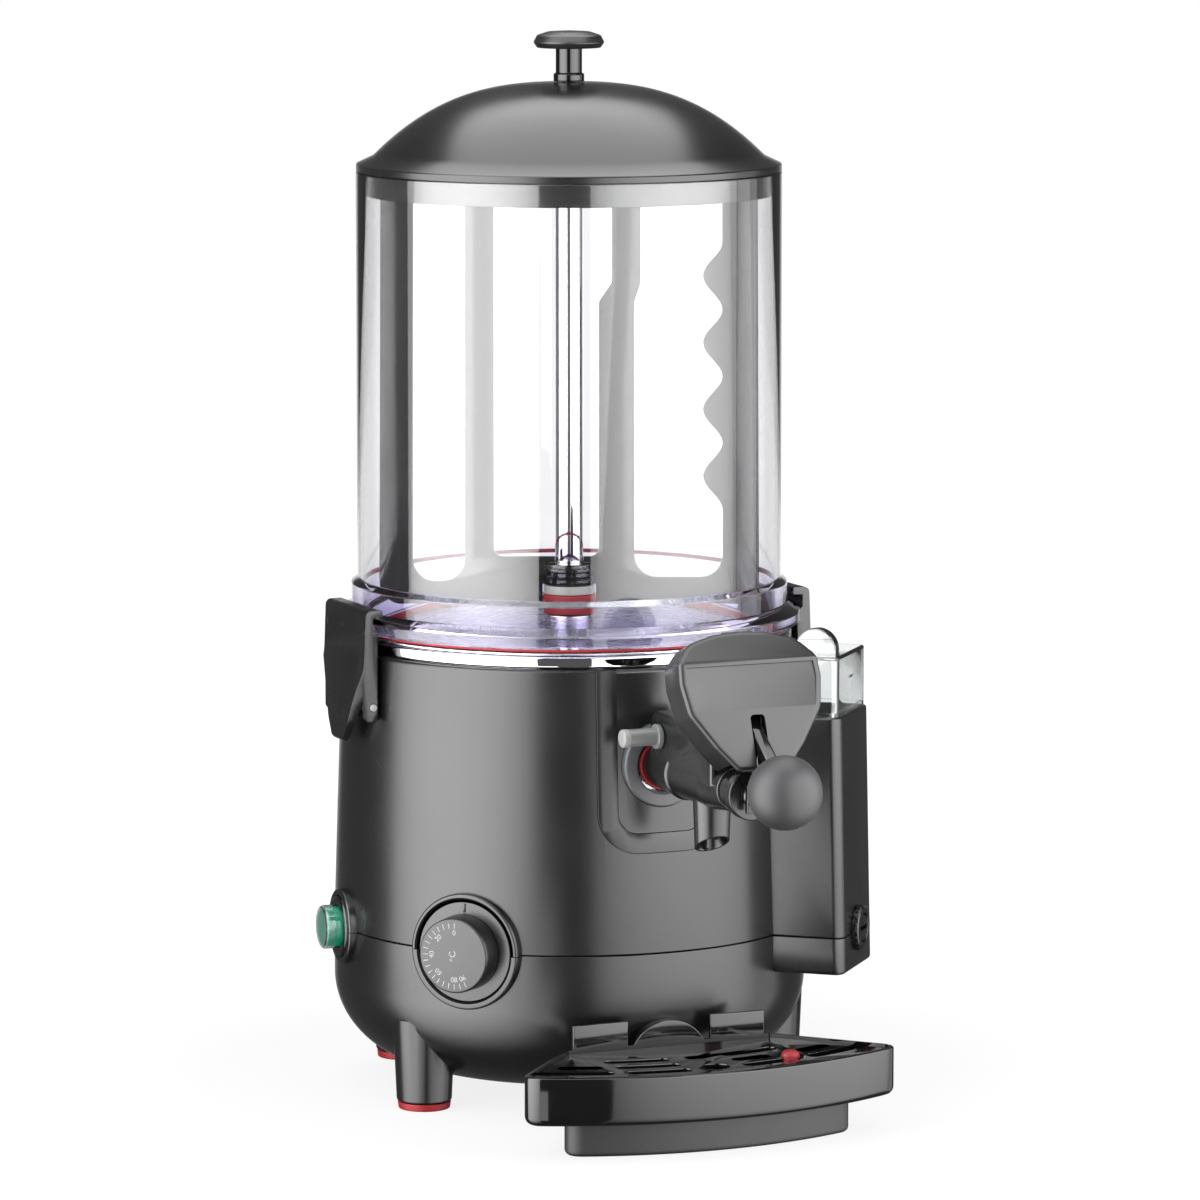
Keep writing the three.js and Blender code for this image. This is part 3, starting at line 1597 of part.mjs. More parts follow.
// Piston and rod; the rod ends in two discs that hold the lever's fork
function tapPiston() {
  return facingFront(revolved([
    [0, pistonReach - pistonLength],
    [pistonRadius, pistonReach - pistonLength],
    [pistonRadius, pistonReach],
    [rodRadius, pistonReach],
    [rodRadius, rodBackNeck - rodHeadThick],
    [rodHeadRadius, rodBackNeck - rodHeadThick],
    [rodHeadRadius, rodBackNeck],
    [rodRadius, rodBackNeck],
    [rodRadius, rodFrontNeck],
    [rodHeadRadius, rodFrontNeck],
    [rodHeadRadius, rodHeadReach],
    [0, rodHeadReach],
  ], smallSides), tapZ);
}

const springBackReach = pistonReach + gap;
const springFrontReach = barrelFrontReach - capFlangeRadius / 2 - gap;

function tapSpring() {
  const path = new THREE.CatmullRomCurve3(springPoints(springSteps));
  const section = new THREE.Shape();
  for (let k = 0; k < wireSides; k += 1) {
    const turn = (k / wireSides) * Math.PI * 2;
    const corner = [springWire * Math.cos(turn), springWire * Math.sin(turn)];
    if (k === 0) section.moveTo(...corner);
    else section.lineTo(...corner);
  }
  const geometry = new THREE.ExtrudeGeometry(section, { steps: springCurls * springSteps, extrudePath: path });
  return facingFront(solidOf(geometry), tapZ);
}

function springPoints(steps) {
  const points = [];
  const count = springCurls * steps;
  const start = springBackReach + springWire;
  const end = springFrontReach - springWire;
  for (let k = 0; k <= count; k += 1) {
    const turn = (k / steps) * Math.PI * 2;
    const reach = start + ((end - start) * k) / count;
    points.push(new THREE.Vector3(springRadius * Math.cos(turn), springRadius * Math.sin(turn), reach));
  }
  return points;
}

function leverNeck() {
  const along = new THREE.Vector2(ballReach - leverPivotReach, ballZ - leverPivotZ);
  const across = new THREE.Vector2(-along.y, along.x).normalize();
  const point = (share, side) => [
    leverPivotReach + along.x * share + across.x * side,
    leverPivotZ + along.y * share + across.y * side,
  ];
  const high = leverNeckHeight / 2;
  const reachShare = 1 - ballRadius / along.length() / 2;
  return sideProfile([point(0, -high), point(reachShare, -high), point(reachShare, high), point(0, high)],
    -leverThick / 2, leverThick / 2);
}

// The fork hangs from the hub and straddles the rod
function leverFork() {
  const half = forkThick / 2;
  const low = tapZ - forkDrop;
  const top = leverPivotZ - leverHubRadius;
  const outline = [
    [forkReach - half, low],
    [forkReach + half, low],
    [forkReach + half, tapZ + rodHeadRadius * 2],
    [leverPivotReach + leverHubRadius * 2, top],
    [leverPivotReach, leverPivotZ],
    [leverPivotReach + leverHubRadius / 2, top],
    [forkReach - half, tapZ + rodHeadRadius * 2],
  ];
  const arm = sideProfile(outline, -leverThick / 2, leverThick / 2);
  const foot = block([-forkWidth / 2, -forkReach - half, low], [forkWidth / 2, -forkReach + half, tapZ + forkRise]);
  const slotTop = tapZ + rodRadius + gap * 2;
  const slot = block([-forkSlot / 2, -ballReach, low - overrun], [forkSlot / 2, -leverPivotReach, slotTop]);
  return cut(joined(arm, foot), slot);
}

function tapLever() {
  const hub = crossBar(leverHubRadius, -leverThick / 2, leverThick / 2, leverPivotReach, leverPivotZ, smallSides);
  const hole = crossBar(leverPinRadius + gap, -headWidth, headWidth, leverPivotReach, leverPivotZ, pinSides);
  return cut(joined(hub, leverNeck(), leverFork()), hole, ballSocket(gap));
}

// The lever's end is turned down to a peg that the ball is pushed on
function ballSocket(clearance) {
  const geometry = new THREE.SphereGeometry(ballRadius + clearance, middleSides, middleSides / 2);
  return shifted(solidOf(geometry), [0, -ballReach, ballZ]);
}

function tapBall() {
  return ballSocket(0);
}

function leverPin() {
  const half = cheekGap / 2 + cheekWall + gap + coverRibThick + edgeRound;
  return crossBar(leverPinRadius, -half, half, leverPivotReach, leverPivotZ, pinSides);
}

function lockPin() {
  const half = headWidth / 2;
  const inner = lockPinSink - half;
  const pin = crossBar(lockPinRadius, inner - lockPinLength, inner, lockPinReach, lockPinZ);
  const flange = crossBar(lockFlangeRadius, -half - gap - lockFlangeThick, -half - gap, lockPinReach, lockPinZ);
  return joined(pin, flange);
}

// The cover is a leaning shell, open behind and below, with a slot for the lever
function coverOutline() {
  const rise = coverApexZ - coverShoulderZ;
  const right = [
    [coverLowHalfWidth, coverLowZ],
    [coverHipHalfWidth, coverHipZ],
    [coverWaistHalfWidth, coverWaistZ],
    [coverHalfWidth, coverShoulderZ],
    ...coverArcShares.map(([across, up]) => [coverHalfWidth * across, coverShoulderZ + rise * up]),
  ];
  const left = right.map(([x, z]) => [-x, z]).reverse();
  return [...right, [0, coverApexZ], ...left];
}

function coverHollowOutline() {
  const outline = insetOutline(coverOutline(), coverShellWall);
  outline[0][1] = coverLowZ - overrun;
  outline[outline.length - 1][1] = coverLowZ - overrun;
  return outline;
}

function coverLeaned(solid) {
  const lean = new THREE.Matrix4().makeRotationX(radians(-coverLean));
  const pivot = [0, coverPlaneReach, -coverShoulderZ];
  const back = pivot.map((value) => -value);
  return shifted(moved(shifted(solid, pivot), lean), back);
}

function coverBody(outline, back, front) {
  return coverLeaned(frontProfile(outline, back, front));
}

// The face is set back a little inside a border that fades out at the top
function panelOutline() {
  const outline = insetOutline(coverOutline(), coverPanelMargin).filter((point) => point[1] < coverPanelTopZ);
  outline[0][1] = coverLowZ - overrun;
  outline[outline.length - 1][1] = coverLowZ - overrun;
  return outline;
}

// Two ribs inside the cover hang it on the lever's pin
function coverRibs() {
  const outline = [
    [leverPivotReach - leverHubRadius, leverPivotZ - leverHubRadius],
    [coverPlaneReach + coverDepth, leverPivotZ - leverHubRadius],
    [coverPlaneReach + coverDepth, leverPivotZ + leverHubRadius],
    [leverPivotReach - leverHubRadius, leverPivotZ + leverHubRadius],
  ];
  const inner = cheekGap / 2 + cheekWall + gap;
  const shape = coverBody(coverOutline(), coverPlaneReach - coverDepth, coverPlaneReach - coverShellWall / 2);
  return [-inner - coverRibThick, inner].map((left) => common(sideProfile(outline, left, left + coverRibThick), shape));
}

function tapCover() {
  const half = coverSlotWidth / 2;
  const back = coverPlaneReach - coverDepth;
  const inside = coverBody(coverHollowOutline(), back - overrun, coverPlaneReach - coverShellWall);
  const panel = coverBody(panelOutline(), coverPlaneReach - coverPanelDepth, coverPlaneReach + overrun);
  const shell = cut(coverBody(coverOutline(), back, coverPlaneReach), inside, panel);
  const slot = block([-half, -gaugeReach * 2, 0], [half, -leverPivotReach - leverHubRadius, coverSlotTopZ]);
  const hole = crossBar(leverPinRadius + gap, -headWidth, headWidth, leverPivotReach, leverPivotZ, pinSides);
  return cut(joined(shell, ...coverRibs()), slot, hole);
}

function addTap() {
  add('tap_collar', tapCollar(), greyPlastic);
  add('tap_ring', tapRing(), redRubber);
  add('tap_body', tapBody(), blackPlastic);
  add('tap_cap', tapCap(), blackPlastic);
  add('tap_piston', tapPiston(), darkSteel);
  add('tap_spring', tapSpring(), steel);
  add('tap_lever', tapLever(), glossBlack);
  add('tap_ball', tapBall(), blackPlastic);
  add('lever_pin', leverPin(), steel);
  add('lock_pin', lockPin(), steel);
  add('tap_cover', tapCover(), blackPlastic);
}

// Drip tray

// The front edge is an arc; the sides slant back to the machine
function trayArc(setback, halfWidth, steps) {
  const points = [];
  const centreY = trayArcRadius - trayFrontReach;
  const radius = trayArcRadius - setback;
  for (let k = 0; k <= steps; k += 1) {
    const x = -halfWidth + (2 * halfWidth * k) / steps;
    points.push([x, centreY - Math.sqrt(radius * radius - x * x), 0]);
  }
  return points;
}

function trayOutline(inset) {
  const arc = trayArc(0, trayHalfWidth, trayArcSteps);
  arc[0][2] = trayCorner;
  arc[arc.length - 1][2] = trayCorner;
  const back = [[trayBackHalfWidth, -trayBackReach, trayCorner / 2], [-trayBackHalfWidth, -trayBackReach, trayCorner / 2]];
  return insetOutline(roundedOutline([...arc, ...back]), inset);
}

function pedestalOutline(inset) {
  const arc = trayArc(pedestalInset, pedestalHalfWidth, trayArcSteps);
  arc[0][2] = trayCorner;
  arc[arc.length - 1][2] = trayCorner;
  const half = pedestalBackHalfWidth;
  const back = [[half, -pedestalBackReach, trayCorner / 2], [-half, -pedestalBackReach, trayCorner / 2]];
  return insetOutline(roundedOutline([...arc, ...back]), inset);
}

function trayLugs() {
  return [-1, 1].map((side) => {
    const left = Math.min(side * lugInner, side * lugOuter);
    const right = Math.max(side * lugInner, side * lugOuter);
    return block([left, -trayBackReach - lugThick, trayRimZ - overrun], [right, -trayBackReach, lugTopZ]);
  });
}

// The arched tab bears on the machine's shell
function trayArch() {
  const rise = archTopZ - trayRimZ;
  const radius = (archHalfWidth ** 2 + rise ** 2) / (2 * rise);
  const back = shellRadius - edgeRound / 2;
  const disc = frontBar(radius, back, trayBackReach + archThick, archTopZ - radius, bigSides);
  return cut(disc, block([-radius * 2, -gaugeReach, -radius * 2], [radius * 2, 0, trayRimZ - overrun]));
}

function gridPosts() {
  const top = gridTopZ - gridThick - gap;
  const places = [[-1, 1], [1, 1], [-1, 0], [1, 0]];
  return places.map(([side, front]) => {
    const x = side * (front ? postFrontX : postBackX);
    const y = front ? -postFrontReach : -postBackReach;
    return shifted(bar(gridSupportRadius, trayFloorZ + trayBaseThick - edgeRound, top, pinSides), [x, y, 0]);
  });
}

function dripTray() {
  const basin = cut(
    prism(trayOutline(0), trayFloorZ, trayRimZ),
    prism(trayOutline(trayWall), trayFloorZ + trayBaseThick, trayRimZ + overrun),
  );
  const pedestal = cut(
    prism(pedestalOutline(0), 0, trayFloorZ + edgeRound),
    prism(pedestalOutline(trayWall), -overrun, trayFloorZ - gap),
  );
  return joined(basin, pedestal, ...trayLugs(), trayArch(), ...gridPosts());
}

// A slot that follows the tray's front curve
function gridSlot(row, fromX, toX) {
  const radius = trayArcRadius - slotFirstRow - row * slotRowPitch;
  const centreY = trayArcRadius - trayFrontReach;
  const half = slotWidth / 2;
  const at = (x, offset) => {
    const angle = Math.asin(x / radius);
    return [(radius + offset) * Math.sin(angle), centreY - (radius + offset) * Math.cos(angle)];
  };
  const points = [];
  for (let k = 0; k <= slotSteps; k += 1) points.push(at(fromX + ((toX - fromX) * k) / slotSteps, half));
  for (let k = slotSteps; k >= 0; k -= 1) points.push(at(fromX + ((toX - fromX) * k) / slotSteps, -half));
  return prism(points, gridTopZ - gridThick - overrun, gridTopZ + overrun);
}

function gridSlots() {
  const slots = [];
  for (let row = 0; row < slotRows; row += 1) {
    const farX = (trayHalfWidth - slotEndMargin) * slotDepthShares[row] - slotEndMargin;
    [-1, 1].forEach((side) => {
      const stop = side > 0 && row === 1 ? floatX - floatHoleRadius * 1.5 : slotMiddleX;
      slots.push(gridSlot(row, side * slotInnerX, side * stop));
      if (farX > slotOuterX + slotWidth) slots.push(gridSlot(row, side * slotOuterX, side * farX));
    });
  }
  slots.push(gridSlot(2, -slotInnerX + slotWidth, slotInnerX - slotWidth));
  return slots;
}

function dripGrid() {
  const plate = prism(trayOutline(trayWall + gap), gridTopZ - gridThick, gridTopZ);
  const hole = shifted(bar(cupHoleRadius, 0, trayRimZ, smallSides), [0, -cupHoleReach, 0]);
  const floatHole = shifted(bar(floatHoleRadius, 0, trayRimZ, smallSides), [floatX, -floatReach, 0]);
  return cut(plate, hole, floatHole, ...gridSlots());
}

function levelFloat() {
  const bottom = trayFloorZ + trayBaseThick + floatLift;
  const profile = [
    [0, bottom],
    [floatBaseRadius, bottom],
    [floatBaseRadius, bottom + floatBaseHeight],
    [floatRadius, bottom + floatBaseHeight + edgeRound],
    [floatRadius, floatTopZ - edgeRound],
    [floatRadius - edgeRound, floatTopZ],
    [0, floatTopZ],
  ];
  return shifted(revolved(profile, smallSides), [floatX, -floatReach, 0]);
}

function addTray() {
  add('drip_tray', dripTray(), blackPlastic);
  add('drip_grid', dripGrid(), glossBlack);
  add('level_float', levelFloat(), redRubber);
}

addShells();
addControls();
addGauge();
addVessels();
addTank();
addLid();
addLatches();
addTap();
addTray();

// The origin is the middle of the machine's footprint box, on the table
const bounds = new THREE.Box3().setFromObject(machine);
const middle = bounds.getCenter(new THREE.Vector3());
machine.position.set(-middle.x, -middle.y, -bounds.min.z);

const part = new THREE.Group();
part.add(machine);
part.updateMatrixWorld(true);

export default part;
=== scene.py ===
import math
import bmesh
import bpy
from mathutils import Matrix, Vector


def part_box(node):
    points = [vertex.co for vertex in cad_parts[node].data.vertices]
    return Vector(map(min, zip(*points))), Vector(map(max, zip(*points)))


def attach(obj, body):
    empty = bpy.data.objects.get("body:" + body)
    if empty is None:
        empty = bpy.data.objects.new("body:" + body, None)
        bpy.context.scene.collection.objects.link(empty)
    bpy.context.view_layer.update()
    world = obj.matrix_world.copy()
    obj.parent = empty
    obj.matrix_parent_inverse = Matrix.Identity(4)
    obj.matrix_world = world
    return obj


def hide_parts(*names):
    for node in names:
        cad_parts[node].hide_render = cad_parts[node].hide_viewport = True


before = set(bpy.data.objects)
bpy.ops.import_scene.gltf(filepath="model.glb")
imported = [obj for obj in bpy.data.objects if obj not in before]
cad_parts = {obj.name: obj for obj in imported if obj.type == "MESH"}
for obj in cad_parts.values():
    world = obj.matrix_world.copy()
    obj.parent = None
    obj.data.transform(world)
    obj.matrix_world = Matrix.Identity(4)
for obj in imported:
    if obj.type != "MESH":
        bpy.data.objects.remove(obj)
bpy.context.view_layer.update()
scene = bpy.context.scene
print("frame loaded:", len(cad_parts), "nodes")

# every size below is in millimetres about the machine's upright axis, the tap facing -Y
mm = 0.001
lidLow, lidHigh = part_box("lid_dome")
machineAxis = (lidLow + lidHigh) / 2
toRow = Matrix.Translation((machineAxis.x, machineAxis.y, 0)) @ Matrix.Scale(mm, 4)
frontward = Matrix.Rotation(math.radians(90), 4, "X")
sideward = Matrix(((0, 0, -1, 0), (-1, 0, 0, 0), (0, 1, 0, 0), (0, 0, 0, 1)))
crossward = Matrix.Rotation(math.radians(90), 4, "Y")

detail = {"big": 192, "middle": 96, "small": 48, "tiny": 12, "arc": 6, "longArc": 18, "edge": 3,
          "weld": 0.001, "crease": 32}
# roundings of small edges, angles from which an edge counts as one, and how far a tool passes what it cuts
hair, crisp, fine, plain, soft = 0.2, 0.3, 0.4, 0.5, 0.6
steep, keen, few, past = 50, 60, 2, 1


# camera: fitted to the view of the machine, 23.5 degrees to its left and 7.5 degrees down
camera = {"lens": 193.56, "sensor": 36, "place": (-1.3873, -3.1578, 0.7308), "turn": (82.5, 0, -23.5)}


def addCamera():
    lens = bpy.data.cameras.new("viewCamera")
    lens.lens = camera["lens"]
    lens.sensor_width = camera["sensor"]
    holder = bpy.data.objects.new("viewCamera", lens)
    scene.collection.objects.link(holder)
    holder.location = camera["place"]
    holder.rotation_euler = [math.radians(angle) for angle in camera["turn"]]
    scene.camera = holder


addCamera()
print("camera placed")


# shapes

def rounded(corners, steps=detail["arc"]):
    points = []
    count = len(corners)
    for k, corner in enumerate(corners):
        here = Vector(corner[:2])
        radius = corner[2] if len(corner) > 2 else 0
        if not radius:
            points.append(here)
            continue
        before = (Vector(corners[k - 1][:2]) - here).normalized()
        after = (Vector(corners[(k + 1) % count][:2]) - here).normalized()
        half = before.angle(after) / 2
        centre = here + (before + after).normalized() * radius / math.sin(half)
        start = here + before * radius / math.tan(half) - centre
        end = here + after * radius / math.tan(half) - centre
        points += [centre + start.slerp(end, step / steps) * radius for step in range(steps + 1)]
    return points


def settled(shape):
    bmesh.ops.remove_doubles(shape, verts=shape.verts, dist=detail["weld"])
    bmesh.ops.dissolve_degenerate(shape, dist=detail["weld"], edges=shape.edges)
    bmesh.ops.recalc_face_normals(shape, faces=shape.faces)
    return shape


def turnedShape(profile, steps=detail["big"]):
    # a profile of radius and height, spun; it is closed unless both its ends lie on the axis
    shape = bmesh.new()
    points = rounded(profile)
    verts = [shape.verts.new((point[0], 0, point[1])) for point in points]
    edges = [shape.edges.new(pair) for pair in zip(verts, verts[1:])]
    if points[0][0] > 0 or points[-1][0] > 0:
        edges.append(shape.edges.new((verts[-1], verts[0])))
    bmesh.ops.spin(shape, geom=verts + edges, cent=(0, 0, 0), axis=(0, 0, 1), angle=math.tau,
                   steps=steps, use_merge=True)
    return settled(shape)


def barShape(radius, low, high, edge=0, steps=detail["small"]):
    return turnedShape([(0, low), (radius, low, edge), (radius, high, edge), (0, high)], steps)


def pushedShape(outline, low, high, edge=0):
    # a flat outline pushed up, with its rims rounded
    shape = bmesh.new()
    face = shape.faces.new([shape.verts.new((point[0], point[1], low)) for point in outline])
    pushed = bmesh.ops.extrude_face_region(shape, geom=[face])
    lifted = [item for item in pushed["geom"] if isinstance(item, bmesh.types.BMVert)]
    bmesh.ops.translate(shape, verts=lifted, vec=(0, 0, high - low))
    settled(shape)
    if edge:
        flat = [rim for rim in shape.edges if abs(rim.verts[0].co.z - rim.verts[1].co.z) < detail["weld"]]
        roundEdges(shape, flat, edge)
    return shape


def roundEdges(shape, edges, width, segments=detail["edge"]):
    bmesh.ops.bevel(shape, geom=edges, offset=width, offset_type="OFFSET", segments=segments, profile=0.5,
                    affect="EDGES", clamp_overlap=True, material=-1)
    return shape


def softened(shape, width, limit=40, segments=detail["edge"]):
    settled(shape)
    sharp = [edge for edge in shape.edges
             if edge.is_manifold and edge.calc_face_angle(0) > math.radians(limit)]
    return roundEdges(shape, sharp, width, segments)


def moved(shape, *matrices):
    for matrix in matrices:
        bmesh.ops.transform(shape, matrix=matrix, verts=shape.verts)
    return shape


def shifted(shape, x, y, z):
    return moved(shape, Matrix.Translation((x, y, z)))


def frontShape(shape, height=0):
    # what was made along +Z reaches out along -Y
    return moved(shape, frontward, Matrix.Translation((0, 0, height)))


def sideShape(outline, left, right):
    # an outline of reach and height, given a width about x = 0
    return moved(pushedShape(outline, left, right), sideward)


def crossBar(radius, left, right, reach, height, edge=0, steps=detail["small"]):
    return moved(barShape(radius, left, right, edge, steps), crossward,
                 Matrix.Translation((0, -reach, height)))


def boxShape(low, high, edge=0):
    shape = bmesh.new()
    bmesh.ops.create_cube(shape, size=1)
    size = [top - bottom for bottom, top in zip(low, high)]
    middle = [(top + bottom) / 2 for bottom, top in zip(low, high)]
    moved(shape, Matrix.Diagonal((*size, 1)), Matrix.Translation(middle))
    if edge:
        roundEdges(shape, list(shape.edges), edge)
    return shape


def looseObject(name, shape):
    mesh = bpy.data.meshes.new(name)
    shape.to_mesh(mesh)
    shape.free()
    thing = bpy.data.objects.new(name, mesh)
    scene.collection.objects.link(thing)
    return thing


def booleanShape(first, second, operation):
    kept = looseObject("kept", first)
    tool = looseObject("tool", second)
    change = kept.modifiers.new("boolean", "BOOLEAN")
    change.operation = operation
    change.solver = "MANIFOLD"
    change.object = tool
    result = bmesh.new()
    result.from_object(kept, bpy.context.evaluated_depsgraph_get())
    for thing in (kept, tool):
        mesh = thing.data
        bpy.data.objects.remove(thing)
        bpy.data.meshes.remove(mesh)
    return result


def cutBy(shape, *tools):
    for tool in tools:
        shape = booleanShape(shape, tool, "DIFFERENCE")
    return shape


def joinedTo(shape, *others):
    for other in others:
        shape = booleanShape(shape, other, "UNION")
    return shape


def sharedWith(shape, other):
    return booleanShape(shape, other, "INTERSECT")


def beside(shape, *others):
    # separate solids of one piece, kept in one mesh
    for other in others:
        mesh = bpy.data.meshes.new("beside")
        other.to_mesh(mesh)
        other.free()
        shape.from_mesh(mesh)
        bpy.data.meshes.remove(mesh)
    return shape


def nodeOf(name):
    return "".join(letter if letter.islower() else "_" + letter.lower() for letter in name)


def addPiece(name, shape, body, material, node=None):
    # it stands for the CAD node of the same name, or for the one given, or for none where that is empty
    node = nodeOf(name) if node is None else node
    moved(shape, toRow)
    mesh = bpy.data.meshes.new(name)
    shape.to_mesh(mesh)
    shape.free()
    mesh.polygons.foreach_set("use_smooth", [True] * len(mesh.polygons))
    mesh.set_sharp_from_angle(angle=math.radians(detail["crease"]))
    mesh.materials.append(material)
    piece = bpy.data.objects.new(name, mesh)
    scene.collection.objects.link(piece)
    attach(piece, body)
    if node:
        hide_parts(node)
    return piece


# materials

def fromHex(code):
    channels = [int(code[k:k + 2], 16) / 255 for k in (0, 2, 4)]
    return (*[c / 12.92 if c <= 0.04045 else ((c + 0.055) / 1.055) ** 2.4 for c in channels], 1)


def addNode(tree, kind, inputs, **settings):
    node = tree.nodes.new(kind)
    for name, value in settings.items():
        setattr(node, name, value)
    for socket, value in inputs.items():
        if isinstance(value, bpy.types.NodeSocket):
            tree.links.new(value, node.inputs[socket])
        else:
            node.inputs[socket].default_value = value
    return node


def emptyMaterial(name):
    material = bpy.data.materials.new(name)
    material.use_nodes = True
    material.node_tree.nodes.clear()
    return material, material.node_tree


def patternAt(tree, stretch=(1, 1, 1)):
    place = addNode(tree, "ShaderNodeTexCoord", {})
    mapping = addNode(tree, "ShaderNodeMapping", {"Vector": place.outputs["Object"], "Scale": stretch,
                                                  "Location": (-machineAxis.x, -machineAxis.y, 0)})
    return mapping.outputs["Vector"]


def noiseOf(tree, vector, size, rough=2):
    # size is the width of one grain in millimetres
    return addNode(tree, "ShaderNodeTexNoise", {"Vector": vector, "Scale": 1 / (size * mm), "Detail": rough})


def worked(tree, operation, first, second):
    node = addNode(tree, "ShaderNodeMath", {0: first, 1: second}, operation=operation)
    return node.outputs["Value"]


def mapped(tree, value, fromRange, toRange=(0, 1)):
    node = addNode(tree, "ShaderNodeMapRange", {
        "Value": value, "From Min": fromRange[0], "From Max": fromRange[1], "To Min": toRange[0],
        "To Max": toRange[1]})
    return node.outputs["Result"]


def ranged(tree, value, low, high):
    # noise keeps mostly between these two values
    return mapped(tree, value, (0.3, 0.7), (low, high))


def blended(tree, share, first, second):
    node = addNode(tree, "ShaderNodeMix", {0: share, 6: first, 7: second}, data_type="RGBA")
    return node.outputs[2]


def output(tree, shader):
    addNode(tree, "ShaderNodeOutputMaterial", {"Surface": shader.outputs[0]})


# how much the roughness wanders over a moulding, and as a share over worked metal
uneven = {"moulded": 0.03, "worked": 0.2}


def mouldedPlastic(name, look):
    material, tree = emptyMaterial(name)
    vector = patternAt(tree)
    grain = noiseOf(tree, vector, look["grain"])
    cloud = noiseOf(tree, vector, look["cloud"], 3)
    colour = blended(tree, ranged(tree, cloud.outputs["Fac"], 0, 1), fromHex(look["colour"]),
                     fromHex(look["shade"]))
    bump = addNode(tree, "ShaderNodeBump", {"Height": grain.outputs["Fac"], "Strength": look["strength"],
                                            "Distance": look["depth"] * mm})
    rough = ranged(tree, cloud.outputs["Fac"], look["roughness"] - uneven["moulded"],
                   look["roughness"] + uneven["moulded"])
    shader = addNode(tree, "ShaderNodeBsdfPrincipled", {
        "Base Color": colour, "Roughness": rough, "IOR": look["ior"], "Normal": bump.outputs["Normal"]})
    output(tree, shader)
    return material


# ABS moulded in a spark-eroded tool: fine matt grain, soft broad highlights
texturedAbs = mouldedPlastic("texturedAbs", {
    "colour": "1c1c1d", "shade": "191919", "grain": 0.7, "cloud": 60, "strength": 0.25, "depth": 0.05,
    "roughness": 0.25, "ior": 1.53})
# ABS of the tray's stand: dull and even
mattAbs = mouldedPlastic("mattAbs", {
    "colour": "1c1c1d", "shade": "1a1a1b", "grain": 0.9, "cloud": 50, "strength": 0.3, "depth": 0.05,
    "roughness": 0.5, "ior": 1.5})
# ABS from a polished tool: deep black with clear reflections
polishedAbs = mouldedPlastic("polishedAbs", {
    "colour": "141415", "shade": "171718", "grain": 6, "cloud": 30, "strength": 0.03, "depth": 0.05,
    "roughness": 0.08, "ior": 1.53})
# filled nylon of the cover, the dial, the knob and the latches' brackets: even dark grey with a satin skin
satinNylon = mouldedPlastic("satinNylon", {
    "colour": "1e1e1f", "shade": "1b1b1c", "grain": 0.9, "cloud": 35, "strength": 0.12, "depth": 0.03,
    "roughness": 0.34, "ior": 1.53})
# the same nylon of the ball, duller and paler where hands rub it
dullNylon = mouldedPlastic("dullNylon", {
    "colour": "38383a", "shade": "333335", "grain": 0.9, "cloud": 35, "strength": 0.2, "depth": 0.03,
    "roughness": 0.5, "ior": 1.53})
# glass filled nylon of the tap and the latches: darker, slightly streaked
tapNylon = mouldedPlastic("tapNylon", {
    "colour": "1a1a1b", "shade": "171718", "grain": 1.2, "cloud": 14, "strength": 0.12, "depth": 0.04,
    "roughness": 0.26, "ior": 1.53})
# polypropylene of the paddle: black, a little waxy
paddlePolypropylene = mouldedPlastic("paddlePolypropylene", {
    "colour": "272728", "shade": "232324", "grain": 1.5, "cloud": 50, "strength": 0.05, "depth": 0.02,
    "roughness": 0.12, "ior": 1.49})
# grey acetal of the tap's socket: smooth and dull
greyAcetal = mouldedPlastic("greyAcetal", {
    "colour": "6b6c6e", "shade": "646567", "grain": 1.5, "cloud": 20, "strength": 0.08, "depth": 0.03,
    "roughness": 0.4, "ior": 1.48})
# pale acetal of the lock pin, and white acetal of its tip and the bush
paleAcetal = mouldedPlastic("paleAcetal", {
    "colour": "a8aaaa", "shade": "a0a2a2", "grain": 1.5, "cloud": 12, "strength": 0.12, "depth": 0.03,
    "roughness": 0.32, "ior": 1.48})
whiteAcetal = mouldedPlastic("whiteAcetal", {
    "colour": "dcdcd8", "shade": "d2d2ce", "grain": 1.5, "cloud": 20, "strength": 0.08, "depth": 0.03,
    "roughness": 0.35, "ior": 1.48})
# moulded silicone: saturated red, soft highlights, faint bloom
redSilicone = mouldedPlastic("redSilicone", {
    "colour": "c22a35", "shade": "b32430", "grain": 1.1, "cloud": 12, "strength": 0.12, "depth": 0.04,
    "roughness": 0.45, "ior": 1.41})
# screen printed enamel ink on the dial
whiteInk = mouldedPlastic("whiteInk", {
    "colour": "ececea", "shade": "e2e2e0", "grain": 0.4, "cloud": 5, "strength": 0.1, "depth": 0.01,
    "roughness": 0.5, "ior": 1.5})
# coloured polycarbonate of the switch, with a glossy face
greenPolycarbonate = mouldedPlastic("greenPolycarbonate", {
    "colour": "1cb08a", "shade": "18a37f", "grain": 1.5, "cloud": 8, "strength": 0.06, "depth": 0.03,
    "roughness": 0.2, "ior": 1.58})


def workedMetal(name, look):
    # drawn or turned metal: fine lines run round the piece or along it
    material, tree = emptyMaterial(name)
    lines = noiseOf(tree, patternAt(tree, look["stretch"]), look["line"], 3)
    cloud = noiseOf(tree, patternAt(tree), look["cloud"], 2)
    colour = blended(tree, ranged(tree, cloud.outputs["Fac"], 0, 1), fromHex(look["colour"]),
                     fromHex(look["shade"]))
    bump = addNode(tree, "ShaderNodeBump", {"Height": lines.outputs["Fac"], "Strength": look["strength"],
                                            "Distance": look["depth"] * mm})
    rough = ranged(tree, lines.outputs["Fac"], look["roughness"] * (1 - uneven["worked"]),
                   look["roughness"] * (1 + uneven["worked"]))
    shader = addNode(tree, "ShaderNodeBsdfPrincipled", {
        "Base Color": colour, "Metallic": 1, "Roughness": rough, "Normal": bump.outputs["Normal"]})
    output(tree, shader)
    return material


